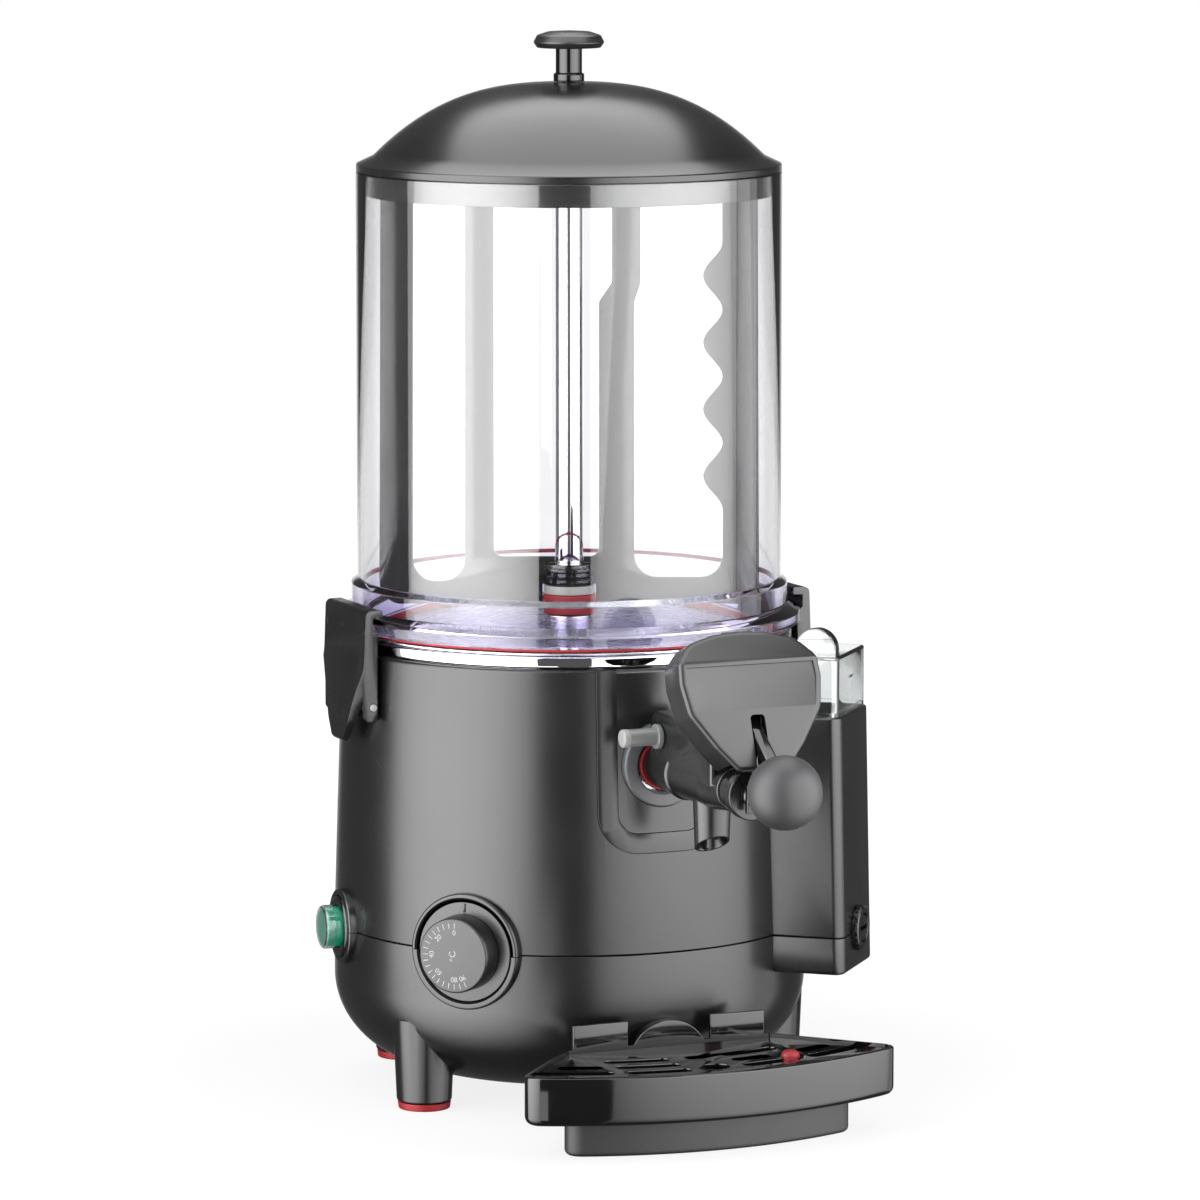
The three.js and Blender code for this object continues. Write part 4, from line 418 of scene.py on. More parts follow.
# stainless steel, polished: mirror-like with the faintest drawing lines
polishedSteel = workedMetal("polishedSteel", {
    "colour": "d9dadb", "shade": "cfd0d2", "stretch": (1, 1, 0.05), "line": 0.6, "cloud": 40,
    "strength": 0.02, "depth": 0.01, "roughness": 0.04})
# stainless steel, spun and brushed: rings round the bowl
brushedSteel = workedMetal("brushedSteel", {
    "colour": "c6c8ca", "shade": "babcbf", "stretch": (0.05, 0.05, 1), "line": 0.6, "cloud": 40,
    "strength": 0.12, "depth": 0.02, "roughness": 0.26})
# bright nickel on brass: warm grey, soft
satinNickel = workedMetal("satinNickel", {
    "colour": "b4b6b6", "shade": "a6a9a9", "stretch": (1, 0.05, 1), "line": 0.5, "cloud": 20,
    "strength": 0.1, "depth": 0.02, "roughness": 0.3})
# zinc plated steel of the works inside
zincSteel = workedMetal("zincSteel", {
    "colour": "8d9093", "shade": "7c8083", "stretch": (1, 1, 1), "line": 2, "cloud": 14, "strength": 0.15,
    "depth": 0.03, "roughness": 0.42})
rolledBrass = workedMetal("rolledBrass", {
    "colour": "b6924f", "shade": "a68344", "stretch": (1, 1, 0.1), "line": 1, "cloud": 12, "strength": 0.1,
    "depth": 0.02, "roughness": 0.3})


def clearPlastic(name, look):
    # the tint deepens below a height, where the wall is thick
    material, tree = emptyMaterial(name)
    vector = patternAt(tree)
    height = addNode(tree, "ShaderNodeSeparateXYZ", {"Vector": vector})
    tint = mapped(tree, height.outputs["Z"], (look["tintLow"] * mm, look["tintHigh"] * mm))
    colour = blended(tree, tint, fromHex(look["tint"]), fromHex(look["colour"]))
    flow = noiseOf(tree, vector, look["flow"], 1)
    bump = addNode(tree, "ShaderNodeBump", {"Height": flow.outputs["Fac"], "Strength": look["strength"],
                                            "Distance": look["depth"] * mm})
    shader = addNode(tree, "ShaderNodeBsdfPrincipled", {
        "Base Color": colour, "Roughness": look["roughness"], "IOR": look["ior"], "Transmission Weight": 1,
        "Normal": bump.outputs["Normal"]})
    output(tree, shader)
    return material


# cast acrylic of the tank: glass clear walls, the thick foot faintly violet
clearAcrylic = clearPlastic("clearAcrylic", {
    "colour": "fdfdfe", "tint": "d3cdea", "tintLow": 268, "tintHigh": 286, "flow": 30, "strength": 0.02,
    "depth": 0.2, "roughness": 0.01, "ior": 1.49})
# polycarbonate of the gauge cover: clear with a faint grey
clearPolycarbonate = clearPlastic("clearPolycarbonate", {
    "colour": "f6f8f8", "tint": "eef2f2", "tintLow": 210, "tintHigh": 240, "flow": 12, "strength": 0.04,
    "depth": 0.2, "roughness": 0.02, "ior": 1.58})
# soft vinyl boot over the switch: cloudy clear, its colour a painted faint green that stands for the green
# button's light from below
clearVinyl = clearPlastic("clearVinyl", {
    "colour": "e2f0ee", "tint": "e2f0ee", "tintLow": 80, "tintHigh": 110, "flow": 3, "strength": 0.2,
    "depth": 0.2, "roughness": 0.1, "ior": 1.5})
print("materials made")


def aimed(shape, angle):
    # turned about the machine's axis, from the tap's side to the left when negative
    return moved(shape, Matrix.Rotation(math.radians(angle), 4, "Z"))


def rimAt(shape, height):
    return [edge for edge in shape.edges
            if all(abs(vert.co.z - height) < detail["weld"] for vert in edge.verts)]


def mirrored(points):
    # the right half of an outline, from bottom to top, completed on the left
    return [*points, *[(-point[0], *point[1:]) for point in reversed(points) if point[0]]]


def drawnIn(outline, distance):
    # every edge of an anticlockwise outline moved inwards
    points = [Vector(point) for point in outline]
    result = []
    for k, here in enumerate(points):
        into = (here - points[k - 1]).normalized()
        out = (points[(k + 1) % len(points)] - here).normalized()
        normal = Vector((-into.y, into.x))
        bisector = (normal + Vector((-out.y, out.x))).normalized()
        result.append(here + bisector * distance / bisector.dot(normal))
    return result


# base shells: one bowl on four legs, one waist with the gauge box, parted at the height of the dial

shell = {"radius": 130, "floorRadius": 72, "floor": 12, "wall": 3, "bowlTop": 62, "bowlSteps": 40,
         "parting": 92.4, "gap": 0.4, "seam": 0.6, "waist": (127.9, 160), "top": (125, 246), "lip": 2.5,
         "mouth": 118, "over": 2}
leg = {"angles": (-68, 68, -146, 146), "circle": 112, "foot": (15, 4.3), "top": (17, 50), "round": 1.4,
       "peg": 5.3, "pegTop": 11.6}
pad = {"radius": 14.5, "foot": 14, "height": 4, "round": 0.8, "peg": 5, "pegTop": 11}
gauge = {"angle": 48.5, "half": 30, "reach": 166, "back": 108, "taper": 3, "low": 72, "high": 213,
         "corner": 6, "foot": 2.4, "rim": 1.2}
dialSeat = {"angle": -48.5, "height": 93, "boss": 31.5, "reach": 132.5, "back": 98.5, "round": 1.5,
            "lowerHole": 27.3, "upperHole": 28.5, "mouth": 1}
switchSeat = {"angle": -95, "height": 93, "boss": 20.5, "reach": 133, "back": 98.5, "round": 1.2,
              "lowerHole": 16.8, "upperHole": 16.8, "mouth": 0.6}
drainSeat = {"height": 94, "hole": 11.3, "from": 116.8, "to": 168}
glandSeat = {"height": 62, "hole": 10.3, "from": 72, "to": 132}
collarSeat = {"height": 194.5, "hole": 23.4, "from": 112, "to": 166}


def bowlLine(inset):
    across = shell["radius"] - inset - shell["floorRadius"]
    rise = shell["bowlTop"] - shell["floor"] - inset
    turns = [math.pi / 2 * step / shell["bowlSteps"] for step in range(shell["bowlSteps"] + 1)]
    return [(shell["floorRadius"] + across * math.sin(turn),
             shell["floor"] + inset + rise * (1 - math.cos(turn)))
            for turn in turns]


def bar(place, radius):
    # a round hole's tool that reaches out from the axis
    return frontShape(barShape(radius, place["from"], place["to"]), place["height"])


def legShape(angle):
    (footRadius, low), (topRadius, high) = leg["foot"], leg["top"]
    shape = turnedShape([(0, low), (footRadius, low, leg["round"]), (topRadius, high), (0, high)],
                        detail["middle"])
    return aimed(shifted(shape, 0, -leg["circle"], 0), angle)


def pegHole(angle):
    return aimed(shifted(barShape(leg["peg"], 0, leg["pegTop"]), 0, -leg["circle"], 0), angle)


def footPad(angle):
    shape = turnedShape([(0, 0), (pad["foot"], 0, pad["round"]),
                         (pad["radius"], pad["height"], pad["round"] / 2), (pad["peg"], pad["height"]),
                         (pad["peg"], pad["pegTop"]), (0, pad["pegTop"])],
                        detail["middle"])
    return aimed(shifted(shape, 0, -leg["circle"], 0), angle)


def gaugeBlock(inset, low, high, lowRound=0, highRound=0, back=gauge["back"]):
    # the gauge box draws in towards its top
    half, reach = gauge["half"] - inset, gauge["reach"] - inset
    corner = gauge["corner"] - inset
    outline = rounded([(-half, -reach, corner), (half, -reach, corner), (half, -back), (-half, -back)])
    shape = pushedShape(outline, low, high)
    for height, width in ((low, lowRound), (high, highRound)):
        if width:
            roundEdges(shape, rimAt(shape, height), width)
    slope = gauge["taper"] / (gauge["high"] - gauge["low"])
    lean = Matrix.Identity(4)
    lean[1][2] = slope
    lean[1][3] = -slope * gauge["low"]
    return aimed(moved(shape, lean), gauge["angle"])


def onSeat(shape, seat):
    return aimed(frontShape(shape, seat["height"]), seat["angle"])


def bossOf(seat):
    return onSeat(barShape(seat["boss"], seat["back"], seat["reach"], seat["round"], detail["middle"]), seat)


def seatHole(seat, radius):
    # its mouth flares, which rounds the boss's inner rim
    front = seat["reach"]
    profile = [(0, shell["floorRadius"]), (radius, shell["floorRadius"]), (radius, front - seat["mouth"]),
               (radius + seat["mouth"] * 2, front + seat["mouth"]), (0, front + seat["mouth"])]
    return onSeat(turnedShape(profile, detail["middle"]), seat)


def slabBetween(low, high):
    wide = gauge["reach"] + shell["over"]
    return boxShape((-wide, -wide, low), (wide, wide, high))


def lowerShell():
    top = shell["parting"] - shell["gap"] / 2
    wall = shell["wall"]
    inner = [(shell["radius"] - wall, top), *reversed(bowlLine(wall))]
    shape = turnedShape([(0, shell["floor"]), *bowlLine(0), (shell["radius"], top, shell["seam"]), *inner,
                         (0, shell["floor"] + wall)])
    bosses = [sharedWith(bossOf(seat), slabBetween(shell["floor"], top)) for seat in (dialSeat, switchSeat)]
    box = gaugeBlock(0, gauge["low"], top, gauge["foot"], shell["seam"])
    shape = joinedTo(shape, *[legShape(angle) for angle in leg["angles"]], box, *bosses)
    above = shell["parting"] + shell["over"]
    hollow = turnedShape([(0, shell["floor"] + wall), *bowlLine(wall), (shell["radius"] - wall, above),
                          (0, above)])
    boxHollow = gaugeBlock(wall, gauge["low"] + wall, above)
    holes = [seatHole(dialSeat, dialSeat["lowerHole"]), seatHole(switchSeat, switchSeat["lowerHole"]),
             aimed(bar(drainSeat, drainSeat["hole"]), gauge["angle"]),
             aimed(bar(glandSeat, glandSeat["hole"]), 180)]
    return cutBy(shape, hollow, boxHollow, *holes, *[pegHole(angle) for angle in leg["angles"]])


def waistLine(inset, low):
    (waistRadius, waistHeight), (topRadius, topHeight) = shell["waist"], shell["top"]
    return [(shell["radius"] - inset, low), (waistRadius - inset, waistHeight),
            (topRadius - inset, topHeight)]


trim = {"half": 36, "low": 147, "band": 10.5, "corner": 22, "sunk": 2, "under": 1.7, "proud": 0.5,
        "play": 0.35, "top": 245.5, "notch": 2.4, "notchDepth": 1, "round": 0.3, "back": 112, "over": 4}


def trimPrism(inset):
    half, low, high = trim["half"] - inset, trim["low"] + inset, shell["top"][1] + trim["over"]
    corner = trim["corner"] - inset
    outline = rounded([(-half, low, corner), (half, low, corner), (half, high), (-half, high)],
                      detail["longArc"])
    return frontShape(pushedShape(outline, trim["back"], shell["radius"] + trim["over"]))


def bodySkin(grow):
    # the outside of the waist, grown or shrunk
    low, high = trim["low"] - trim["over"] * 2, shell["top"][1] + trim["over"] * 2
    (waistRadius, waistHeight), (topRadius, topHeight) = shell["waist"], shell["top"]
    share = (low - shell["parting"]) / (waistHeight - shell["parting"])
    radius = shell["radius"] + (waistRadius - shell["radius"]) * share
    return turnedShape([(0, low), (radius + grow, low), (waistRadius + grow, waistHeight),
                        (topRadius + grow, topHeight), (topRadius + grow, high), (0, high)])


def upperShell():
    low = shell["parting"] + shell["gap"] / 2
    wall, (topRadius, topHeight) = shell["wall"], shell["top"]
    outer = waistLine(0, low)
    inner = list(reversed(waistLine(wall, low)))
    outer[0] = (*outer[0], shell["seam"])
    outer[-1] = (*outer[-1], shell["lip"])
    inner[0] = (inner[0][0], topHeight - wall)
    shape = turnedShape([*outer, (shell["mouth"], topHeight, shell["lip"] / 3),
                         (shell["mouth"], topHeight - wall), *inner])
    bosses = [sharedWith(bossOf(seat), slabBetween(low, topHeight)) for seat in (dialSeat, switchSeat)]
    shape = joinedTo(shape, gaugeBlock(0, low, gauge["high"], shell["seam"], gauge["rim"]), *bosses)
    hollowLine = waistLine(wall, low - shell["over"])
    hollow = turnedShape([(0, low - shell["over"]), *hollowLine[:-1], (topRadius - wall, topHeight - wall),
                          (0, topHeight - wall)])
    boxHollow = gaugeBlock(wall, low - shell["over"], gauge["high"] + shell["over"], back=shell["radius"])
    holes = [seatHole(dialSeat, dialSeat["upperHole"]), seatHole(switchSeat, switchSeat["upperHole"]),
             aimed(bar(drainSeat, drainSeat["hole"]), gauge["angle"]), bar(collarSeat, collarSeat["hole"])]
    recess = cutBy(trimPrism(-trim["play"]), trimPrism(trim["band"] + trim["play"]), bodySkin(-trim["sunk"]))
    return cutBy(shape, hollow, boxHollow, *holes, recess)


def tapTrim():
    shape = cutBy(trimPrism(0), trimPrism(trim["band"]))
    shape = cutBy(sharedWith(shape, bodySkin(trim["proud"])), bodySkin(-trim["under"]))
    half, far = trim["notch"] / 2, gauge["reach"]
    depth = shell["radius"] - trim["notchDepth"]
    above = boxShape((-far, -far, trim["top"]), (far, far, trim["top"] + far))
    notch = boxShape((-half, -far, trim["low"] - trim["over"]),
                     (half, -depth, trim["low"] + trim["band"] + trim["over"]))
    return softened(cutBy(shape, above, notch), trim["round"])


addPiece("lowerShell", lowerShell(), "base", texturedAbs)
addPiece("upperShell", upperShell(), "base", texturedAbs)
addPiece("tapTrim", tapTrim(), "base", texturedAbs)
for number, angle in enumerate(leg["angles"], 1):
    addPiece(f"footPad{number}", footPad(angle), "base", redSilicone)
print("shells, trim and feet made")


# dial with its printed scale

dial = {"plate": 27, "plateBack": 124.5, "plateFront": 131.5, "plateRound": 0.5, "bore": 3.6,
        "index": (0.5, 114.8, 119.2), "indexProud": 0.8, "knobBack": 132.1, "knobFront": 145.6,
        "knobRadius": 20.6, "faceRadius": 20.1, "round": 1.3, "socket": 3.3, "socketFront": 144}
scale = {"ticks": 19, "start": 3, "step": -11.6, "tickWide": 0.42, "tickIn": 14.9, "tickOut": 17.9,
         "ink": 0.08, "labels": ((0, "0"), (4, "20"), (8, "40"), (12, "60"), (16, "80"), (18, "90")),
         "labelAt": 12.6, "labelSize": 3.9, "unit": "°C", "unitSize": 5.2, "unitTurn": 100}


def dialBezel():
    plate = barShape(dial["plate"], dial["plateBack"], dial["plateFront"], dial["plateRound"],
                     detail["middle"])
    hole = barShape(dial["bore"], dial["plateBack"] - past, dial["plateFront"] + past)
    half, low, high = dial["index"]
    front = dial["plateFront"]
    ridge = boxShape((-half, -front - dial["indexProud"], low), (half, -front + past, high), hair)
    return aimed(joinedTo(frontShape(cutBy(plate, hole), dialSeat["height"]), ridge), dialSeat["angle"])


def dialKnob():
    knob = turnedShape([(0, dial["knobBack"]), (dial["knobRadius"], dial["knobBack"], fine),
                        (dial["faceRadius"], dial["knobFront"], dial["round"]), (0, dial["knobFront"])],
                       detail["middle"])
    socket = barShape(dial["socket"], dial["knobBack"] - past, dial["socketFront"])
    return onSeat(cutBy(knob, socket), dialSeat)


def textShape(words, size, depth):
    font = bpy.data.curves.new("words", "FONT")
    font.body, font.size, font.extrude = words, size, depth / 2
    font.align_x, font.align_y = "CENTER", "CENTER"
    thing = bpy.data.objects.new("words", font)
    scene.collection.objects.link(thing)
    shape = bmesh.new()
    mesh = bpy.data.meshes.new_from_object(thing.evaluated_get(bpy.context.evaluated_depsgraph_get()))
    shape.from_mesh(mesh)
    bpy.data.objects.remove(thing)
    bpy.data.curves.remove(font)
    bpy.data.meshes.remove(mesh)
    return settled(shape)


def onScale(shape, angle, out=0):
    return moved(shape, Matrix.Translation((0, out, 0)), Matrix.Rotation(math.radians(-angle), 4, "Z"))


def dialMarks():
    half = scale["tickWide"] / 2
    marks = bmesh.new()
    for number in range(scale["ticks"]):
        tick = boxShape((-half, scale["tickIn"], 0), (half, scale["tickOut"], scale["ink"]))
        beside(marks, onScale(tick, scale["start"] + number * scale["step"]))
    for number, words in scale["labels"]:
        label = textShape(words, scale["labelSize"], scale["ink"])
        beside(marks, onScale(label, scale["start"] + number * scale["step"], scale["labelAt"]))
    beside(marks, onScale(textShape(scale["unit"], scale["unitSize"], scale["ink"]), -scale["unitTurn"]))
    shifted(marks, 0, 0, dial["knobFront"])
    return onSeat(marks, dialSeat)


addPiece("dialBezel", dialBezel(), "base", texturedAbs)
addPiece("dialKnob", dialKnob(), "dial", satinNylon, "dial")
addPiece("dialMarks", dialMarks(), "dial", whiteInk, "")
print("dial made")


# lit switch: black bezel, green button, clear boot over it

button = {"bezel": 16.5, "bore": 11.6, "bezelBack": 126, "bezelFront": 134, "bezelRound": 1.4,
          "boreRound": 0.8, "radius": 11, "back": 125.7, "front": 141.7, "round": 1.6, "boot": 12,
          "bootInner": 11.3, "bootBack": 137, "bootFront": 143, "bootWall": 1, "bootRound": 1.8}


def switchBezel():
    back, front, bore, radius = button["bezelBack"], button["bezelFront"], button["bore"], button["bezel"]
    profile = [(bore, back), (radius, back), (radius, front, button["bezelRound"]),
               (bore, front, button["boreRound"])]
    return onSeat(turnedShape(profile, detail["middle"]), switchSeat)


def switchButton():
    back, front, radius = button["back"], button["front"], button["radius"]
    profile = [(0, back), (radius, back), (radius, front, button["round"]), (0, front)]
    return onSeat(turnedShape(profile, detail["middle"]), switchSeat)


def switchBoot():
    back, front = button["bootBack"], button["bootFront"]
    inside = front - button["bootWall"]
    inner = button["bootInner"]
    profile = [(0, front), (button["boot"], front, button["bootRound"]), (button["boot"], back, crisp),
               (inner, back), (inner, inside, button["bootRound"] - 1), (0, inside)]
    return onSeat(turnedShape(profile, detail["middle"]), switchSeat)


addPiece("switchBezel", switchBezel(), "base", polishedAbs)
addPiece("switchButton", switchButton(), "switch", greenPolycarbonate)
addPiece("switchBoot", switchBoot(), "switch", clearVinyl)
print("switch made")


# clear cover of the gauge box, with its arched tab, and the drain below

cover = {"half": 28.5, "reach": 161.5, "back": 127.5, "low": 213.3, "top": 246, "wall": 2, "corner": 4.5,
         "rim": 0.9, "lipHalf": 26.7, "lipReach": 159.7, "lipBack": 130.3, "lipLow": 205, "lipTop": 215.3,
         "lipCorner": 3, "lipWall": 1.7, "tabRadius": 11.4, "tabReach": 149.1, "tabHeight": 250,
         "tab": (-28.5, -20.5), "tabRound": 1, "mark": 4.5, "markHeight": 232, "markThick": 1.2,
         "clear": 0.4}
drain = {"height": 94, "ring": 12, "neck": 11, "back": 144, "seat": 165.8, "front": 169.5, "bore": 8,
         "round": 1, "cap": 7.4, "capBack": 160, "capFront": 169, "slot": 1.2, "slotReach": 6.4,
         "slotDepth": 2, "ribs": 20, "rib": 0.7, "ribGap": 0.4}


def coverBlock(half, reach, back, corner, low, high):
    outline = rounded([(-half, -reach, corner), (half, -reach, corner), (half, -back), (-half, -back)])
    return pushedShape(outline, low, high)


def gaugeCover():
    wall = cover["wall"]
    outer = coverBlock(cover["half"], cover["reach"], cover["back"], cover["corner"], cover["low"],
                       cover["top"])
    roundEdges(outer, rimAt(outer, cover["top"]), cover["rim"])
    inner = coverBlock(cover["half"] - wall, cover["reach"] - wall, cover["back"] + wall,
                       cover["corner"] - wall, cover["low"] - past, cover["top"] - wall)
    lip = coverBlock(cover["lipHalf"], cover["lipReach"], cover["lipBack"], cover["lipCorner"],
                     cover["lipLow"], cover["lipTop"])
    lipInner = coverBlock(cover["lipHalf"] - cover["lipWall"], cover["lipReach"] - cover["lipWall"],
                          cover["lipBack"] + cover["lipWall"], cover["lipCorner"] - 1,
                          cover["lipLow"] - past, cover["lipTop"] + past)
    left, right = cover["tab"]
    radius, reach, height = cover["tabRadius"], cover["tabReach"], cover["tabHeight"]
    disc = crossBar(radius, left, right, reach, height, cover["tabRound"])
    foot = boxShape((left, -reach - radius, cover["top"] - wall), (right, -reach + radius, height))
    below = boxShape((left - past, -reach - radius * 2, 0),
                     (right + past, -reach + radius * 2, cover["top"] - wall))
    half, thick = cover["mark"], cover["markThick"]
    mark = boxShape((-half, -cover["reach"] - thick / 2, cover["markHeight"]),
                    (half, -cover["reach"] + thick, cover["markHeight"] + thick), crisp)
    shape = joinedTo(cutBy(outer, inner), cutBy(lip, lipInner), cutBy(disc, below), foot, mark)
    return cutBy(aimed(shape, gauge["angle"]), bodySkin(cover["clear"]))


def onGauge(shape):
    return aimed(frontShape(shape, drain["height"]), gauge["angle"])


def drainFitting():
    ring, bore, round = drain["ring"], drain["bore"], drain["round"]
    body = turnedShape([(bore, drain["back"]), (drain["neck"], drain["back"]), (drain["neck"], drain["seat"]),
                        (ring, drain["seat"]), (ring, drain["front"], round), (bore, drain["front"], plain)],
                       detail["middle"])
    ribs = bmesh.new()
    for number in range(drain["ribs"]):
        rib = barShape(drain["rib"], drain["seat"] + drain["ribGap"], drain["front"] - round, hair,
                       detail["tiny"])
        beside(ribs, onScale(rib, 360 * number / drain["ribs"], ring))
    return onGauge(joinedTo(body, ribs))


def drainCap():
    disc = barShape(drain["cap"], drain["capBack"], drain["capFront"], soft)
    half, reach = drain["slot"], drain["slotReach"]
    slot = boxShape((-reach, -half, drain["capFront"] - drain["slotDepth"]),
                    (reach, half, drain["capFront"] + past))
    return onGauge(cutBy(disc, slot))


addPiece("gaugeCover", gaugeCover(), "gauge_cover", clearPolycarbonate)
addPiece("drainFitting", drainFitting(), "base", polishedAbs)
addPiece("drainCap", drainCap(), "drain_cap", polishedAbs)
print("gauge and drain made")


# water bath with its bright rim, and the product bowl that hangs in it

bath = {"inner": 115.3, "outer": 116.8, "floor": 150, "wall": 1.5, "rimLow": 246.3, "rimTop": 252.9,
        "rim": 122.4, "rimRound": 1.6, "bore": 5.3, "outlet": 15.3, "outletFrom": 110, "outletTo": 130,
        "heaterHole": 4.3, "heaterAt": (18, 84), "heaterPast": 5, "foot": 3, "inRound": 2}
bowl = {"floorRadius": 84, "floor": 178, "wall": 1.5, "side": 108.5, "corner": 206, "top": 110,
        "flange": 121.2, "flangeLow": 253.2, "flangeTop": 254.4, "sleeveRadius": 13.5, "sleeveLow": 151.8,
        "sleeveTop": 262, "sleeveBore": 8, "spigot": 15, "spigotBore": 13.5, "spigotFrom": 84,
        "spigotTo": 118.3, "spigotPast": 20, "round": 6}


def bathVessel():
    floor, top = bath["floor"], bath["rimTop"]
    shape = turnedShape([(bath["bore"], floor), (bath["outer"], floor, bath["foot"]),
                         (bath["outer"], bath["rimLow"]), (bath["rim"], bath["rimLow"], bath["rimRound"]),
                         (bath["rim"], top, bath["rimRound"]), (bath["inner"], top, soft),
                         (bath["inner"], floor + bath["wall"], bath["inRound"]),
                         (bath["bore"], floor + bath["wall"])])
    outlet = frontShape(barShape(bath["outlet"], bath["outletFrom"], bath["outletTo"]), collarSeat["height"])
    x, y = bath["heaterAt"]
    heaterHoles = [shifted(barShape(bath["heaterHole"], floor - bath["heaterPast"],
                                    floor + bath["heaterPast"]), side * x, y, 0) for side in (-1, 1)]
    return cutBy(shape, outlet, *heaterHoles)


def bowlInside(extra=0):
    wall, inner = bowl["wall"], bowl["side"] - bowl["wall"]
    return turnedShape([(0, bowl["floor"] + wall),
                        (bowl["floorRadius"] - wall, bowl["floor"] + wall, bowl["round"]),
                        (inner, bowl["corner"] + wall, bowl["round"]),
                        (inner + wall, bowl["flangeTop"] + extra), (0, bowl["flangeTop"] + extra)])


def productBowl():
    outer = turnedShape([(0, bowl["floor"]), (bowl["floorRadius"], bowl["floor"], bowl["round"]),
                         (bowl["side"], bowl["corner"], bowl["round"]),
                         (bowl["top"], bowl["flangeLow"], plain), (bowl["flange"], bowl["flangeLow"], fine),
                         (bowl["flange"], bowl["flangeTop"], fine), (0, bowl["flangeTop"])])
    spigot = frontShape(barShape(bowl["spigot"], bowl["spigotFrom"], bowl["spigotTo"]), collarSeat["height"])
    sleeve = barShape(bowl["sleeveRadius"], bowl["sleeveLow"], bowl["sleeveTop"], soft, detail["middle"])
    spigotBore = frontShape(barShape(bowl["spigotBore"], bowl["spigotFrom"] - bowl["spigotPast"],
                                     bowl["spigotTo"] + past),
                            collarSeat["height"])
    sleeveBore = barShape(bowl["sleeveBore"], bowl["sleeveLow"] - past, bowl["sleeveTop"] + past)
    shape = cutBy(joinedTo(outer, spigot), bowlInside(2), spigotBore)
    return cutBy(joinedTo(shape, sleeve), sleeveBore)


addPiece("bathVessel", bathVessel(), "base", polishedSteel)
addPiece("productBowl", productBowl(), "base", brushedSteel)
print("bath and bowl made")


# clear tank on its red gasket

tank = {"inner": 113, "low": 257.2, "lip": 127, "lipTop": 263.2, "ring": 119.8, "ringLow": 267,
        "ringTop": 279, "outer": 116.5, "step": 281.5, "top": 503.6, "lipRounds": (0.8, 1.2), "neck": 0.6}
gasket = {"inner": 112.5, "outer": 120, "low": 254.7, "top": 256.9, "round": 0.7}


def tankShape():
    lowRound, topRound = tank["lipRounds"]
    return turnedShape([(tank["inner"], tank["low"], plain), (tank["lip"], tank["low"], lowRound),
                        (tank["lip"], tank["lipTop"], topRound), (tank["ring"] + 1, tank["ringLow"], 1),
                        (tank["ring"], tank["ringLow"] + tank["neck"]), (tank["ring"], tank["ringTop"], 1),
                        (tank["outer"], tank["step"], 1), (tank["outer"], tank["top"], soft),
                        (tank["inner"], tank["top"], soft)])


def tankGasket():
    low, top, round = gasket["low"], gasket["top"], gasket["round"]
    return turnedShape([(gasket["inner"], low), (gasket["outer"], low, round),
                        (gasket["outer"], top, round), (gasket["inner"], top)])


addPiece("tankWall", tankShape(), "base", clearAcrylic, "tank")
addPiece("tankGasket", tankGasket(), "base", redSilicone)
print("tank made")


# seals, shaft and stirring paddle

seal = {"bore": 5.3, "radius": 14, "low": 262.3, "middle": 267.1, "top": 271.9, "groove": 1.2, "round": 0.6,
        "bushLow": 272.2, "bushTop": 276.8}
cap = {"bore": 7.95, "radius": 14.2, "low": 277.1, "middle": 282.8, "top": 288.5, "groove": 0.9,
       "round": 0.7, "slotHalf": 1.8, "slotFrom": 11.1, "slotTo": 16.2}
shaft = {"radius": 7.65, "low": 277.1, "top": 487.4, "lowBore": 5.5, "lowBoreTop": 306.3, "highBore": 4.9,
         "highBoreLow": 478.1}
clip = {"wide": 13.75, "deep": 8, "low": 487.7, "high": 494.5, "web": 2.2, "slot": 1.8, "round": 0.8,
        "peg": 4.6, "pegLow": 478.7}
paddle = {"angle": -23.5, "half": 1.5, "wide": 104.4, "low": 267, "top": 497, "corner": 12, "topCorner": 5,
          "sealRoom": 14.6, "notch": 11.4, "notchLow": 277.1, "notchTop": 288.8, "strip": 18.6, "edge": 0.4,
          "windowTop": 490.2, "windowCorner": 5, "firstRight": 57.4, "firstLow": 278.4, "middleLeft": 41.3,
          "middleRight": 23.5, "stepRight": 16.4, "step": 432, "middleLow": 291.6, "lastLeft": 39.3,
          "lastStep": 35.8, "lastRight": 84.4, "lastLow": 280.6, "clipHalf": 14.05, "clipTop": 490.5,
          "clipDeep": 3, "shaft": 7.95}
wave = {"top": 459, "length": 35.5, "depth": 10.8, "count": 4, "steps": 16}


def sealRing():
    radius, middle, groove = seal["radius"], seal["middle"], seal["groove"]
    return turnedShape([(seal["bore"], seal["low"]), (radius, seal["low"], seal["round"]),
                        (radius, middle - groove, crisp), (radius - groove, middle, crisp),
                        (radius, middle + groove, crisp), (radius, seal["top"], seal["round"]),
                        (seal["bore"], seal["top"])], detail["middle"])


def sealBush():
    return turnedShape([(seal["bore"], seal["bushLow"]), (seal["radius"], seal["bushLow"], fine),
                        (seal["radius"], seal["bushTop"], fine), (seal["bore"], seal["bushTop"])],
                       detail["middle"])


def shaftCap():
    radius, middle, groove = cap["radius"], cap["middle"], cap["groove"]
    shape = turnedShape([(cap["bore"], cap["low"]), (radius, cap["low"], cap["round"]),
                         (radius, middle - groove * 2), (radius - groove, middle - groove),
                         (radius - groove, middle + groove), (radius, middle + groove * 2),
                         (radius, cap["top"], cap["round"]), (cap["bore"], cap["top"])], detail["middle"])
    near, far, half = cap["slotFrom"], cap["slotTo"], cap["slotHalf"]
    slots = [boxShape((min(side * near, side * far), -half, cap["low"] - past),
                      (max(side * near, side * far), half, cap["top"] + past))
             for side in (-1, 1)]
    return aimed(cutBy(shape, *slots), paddle["angle"])


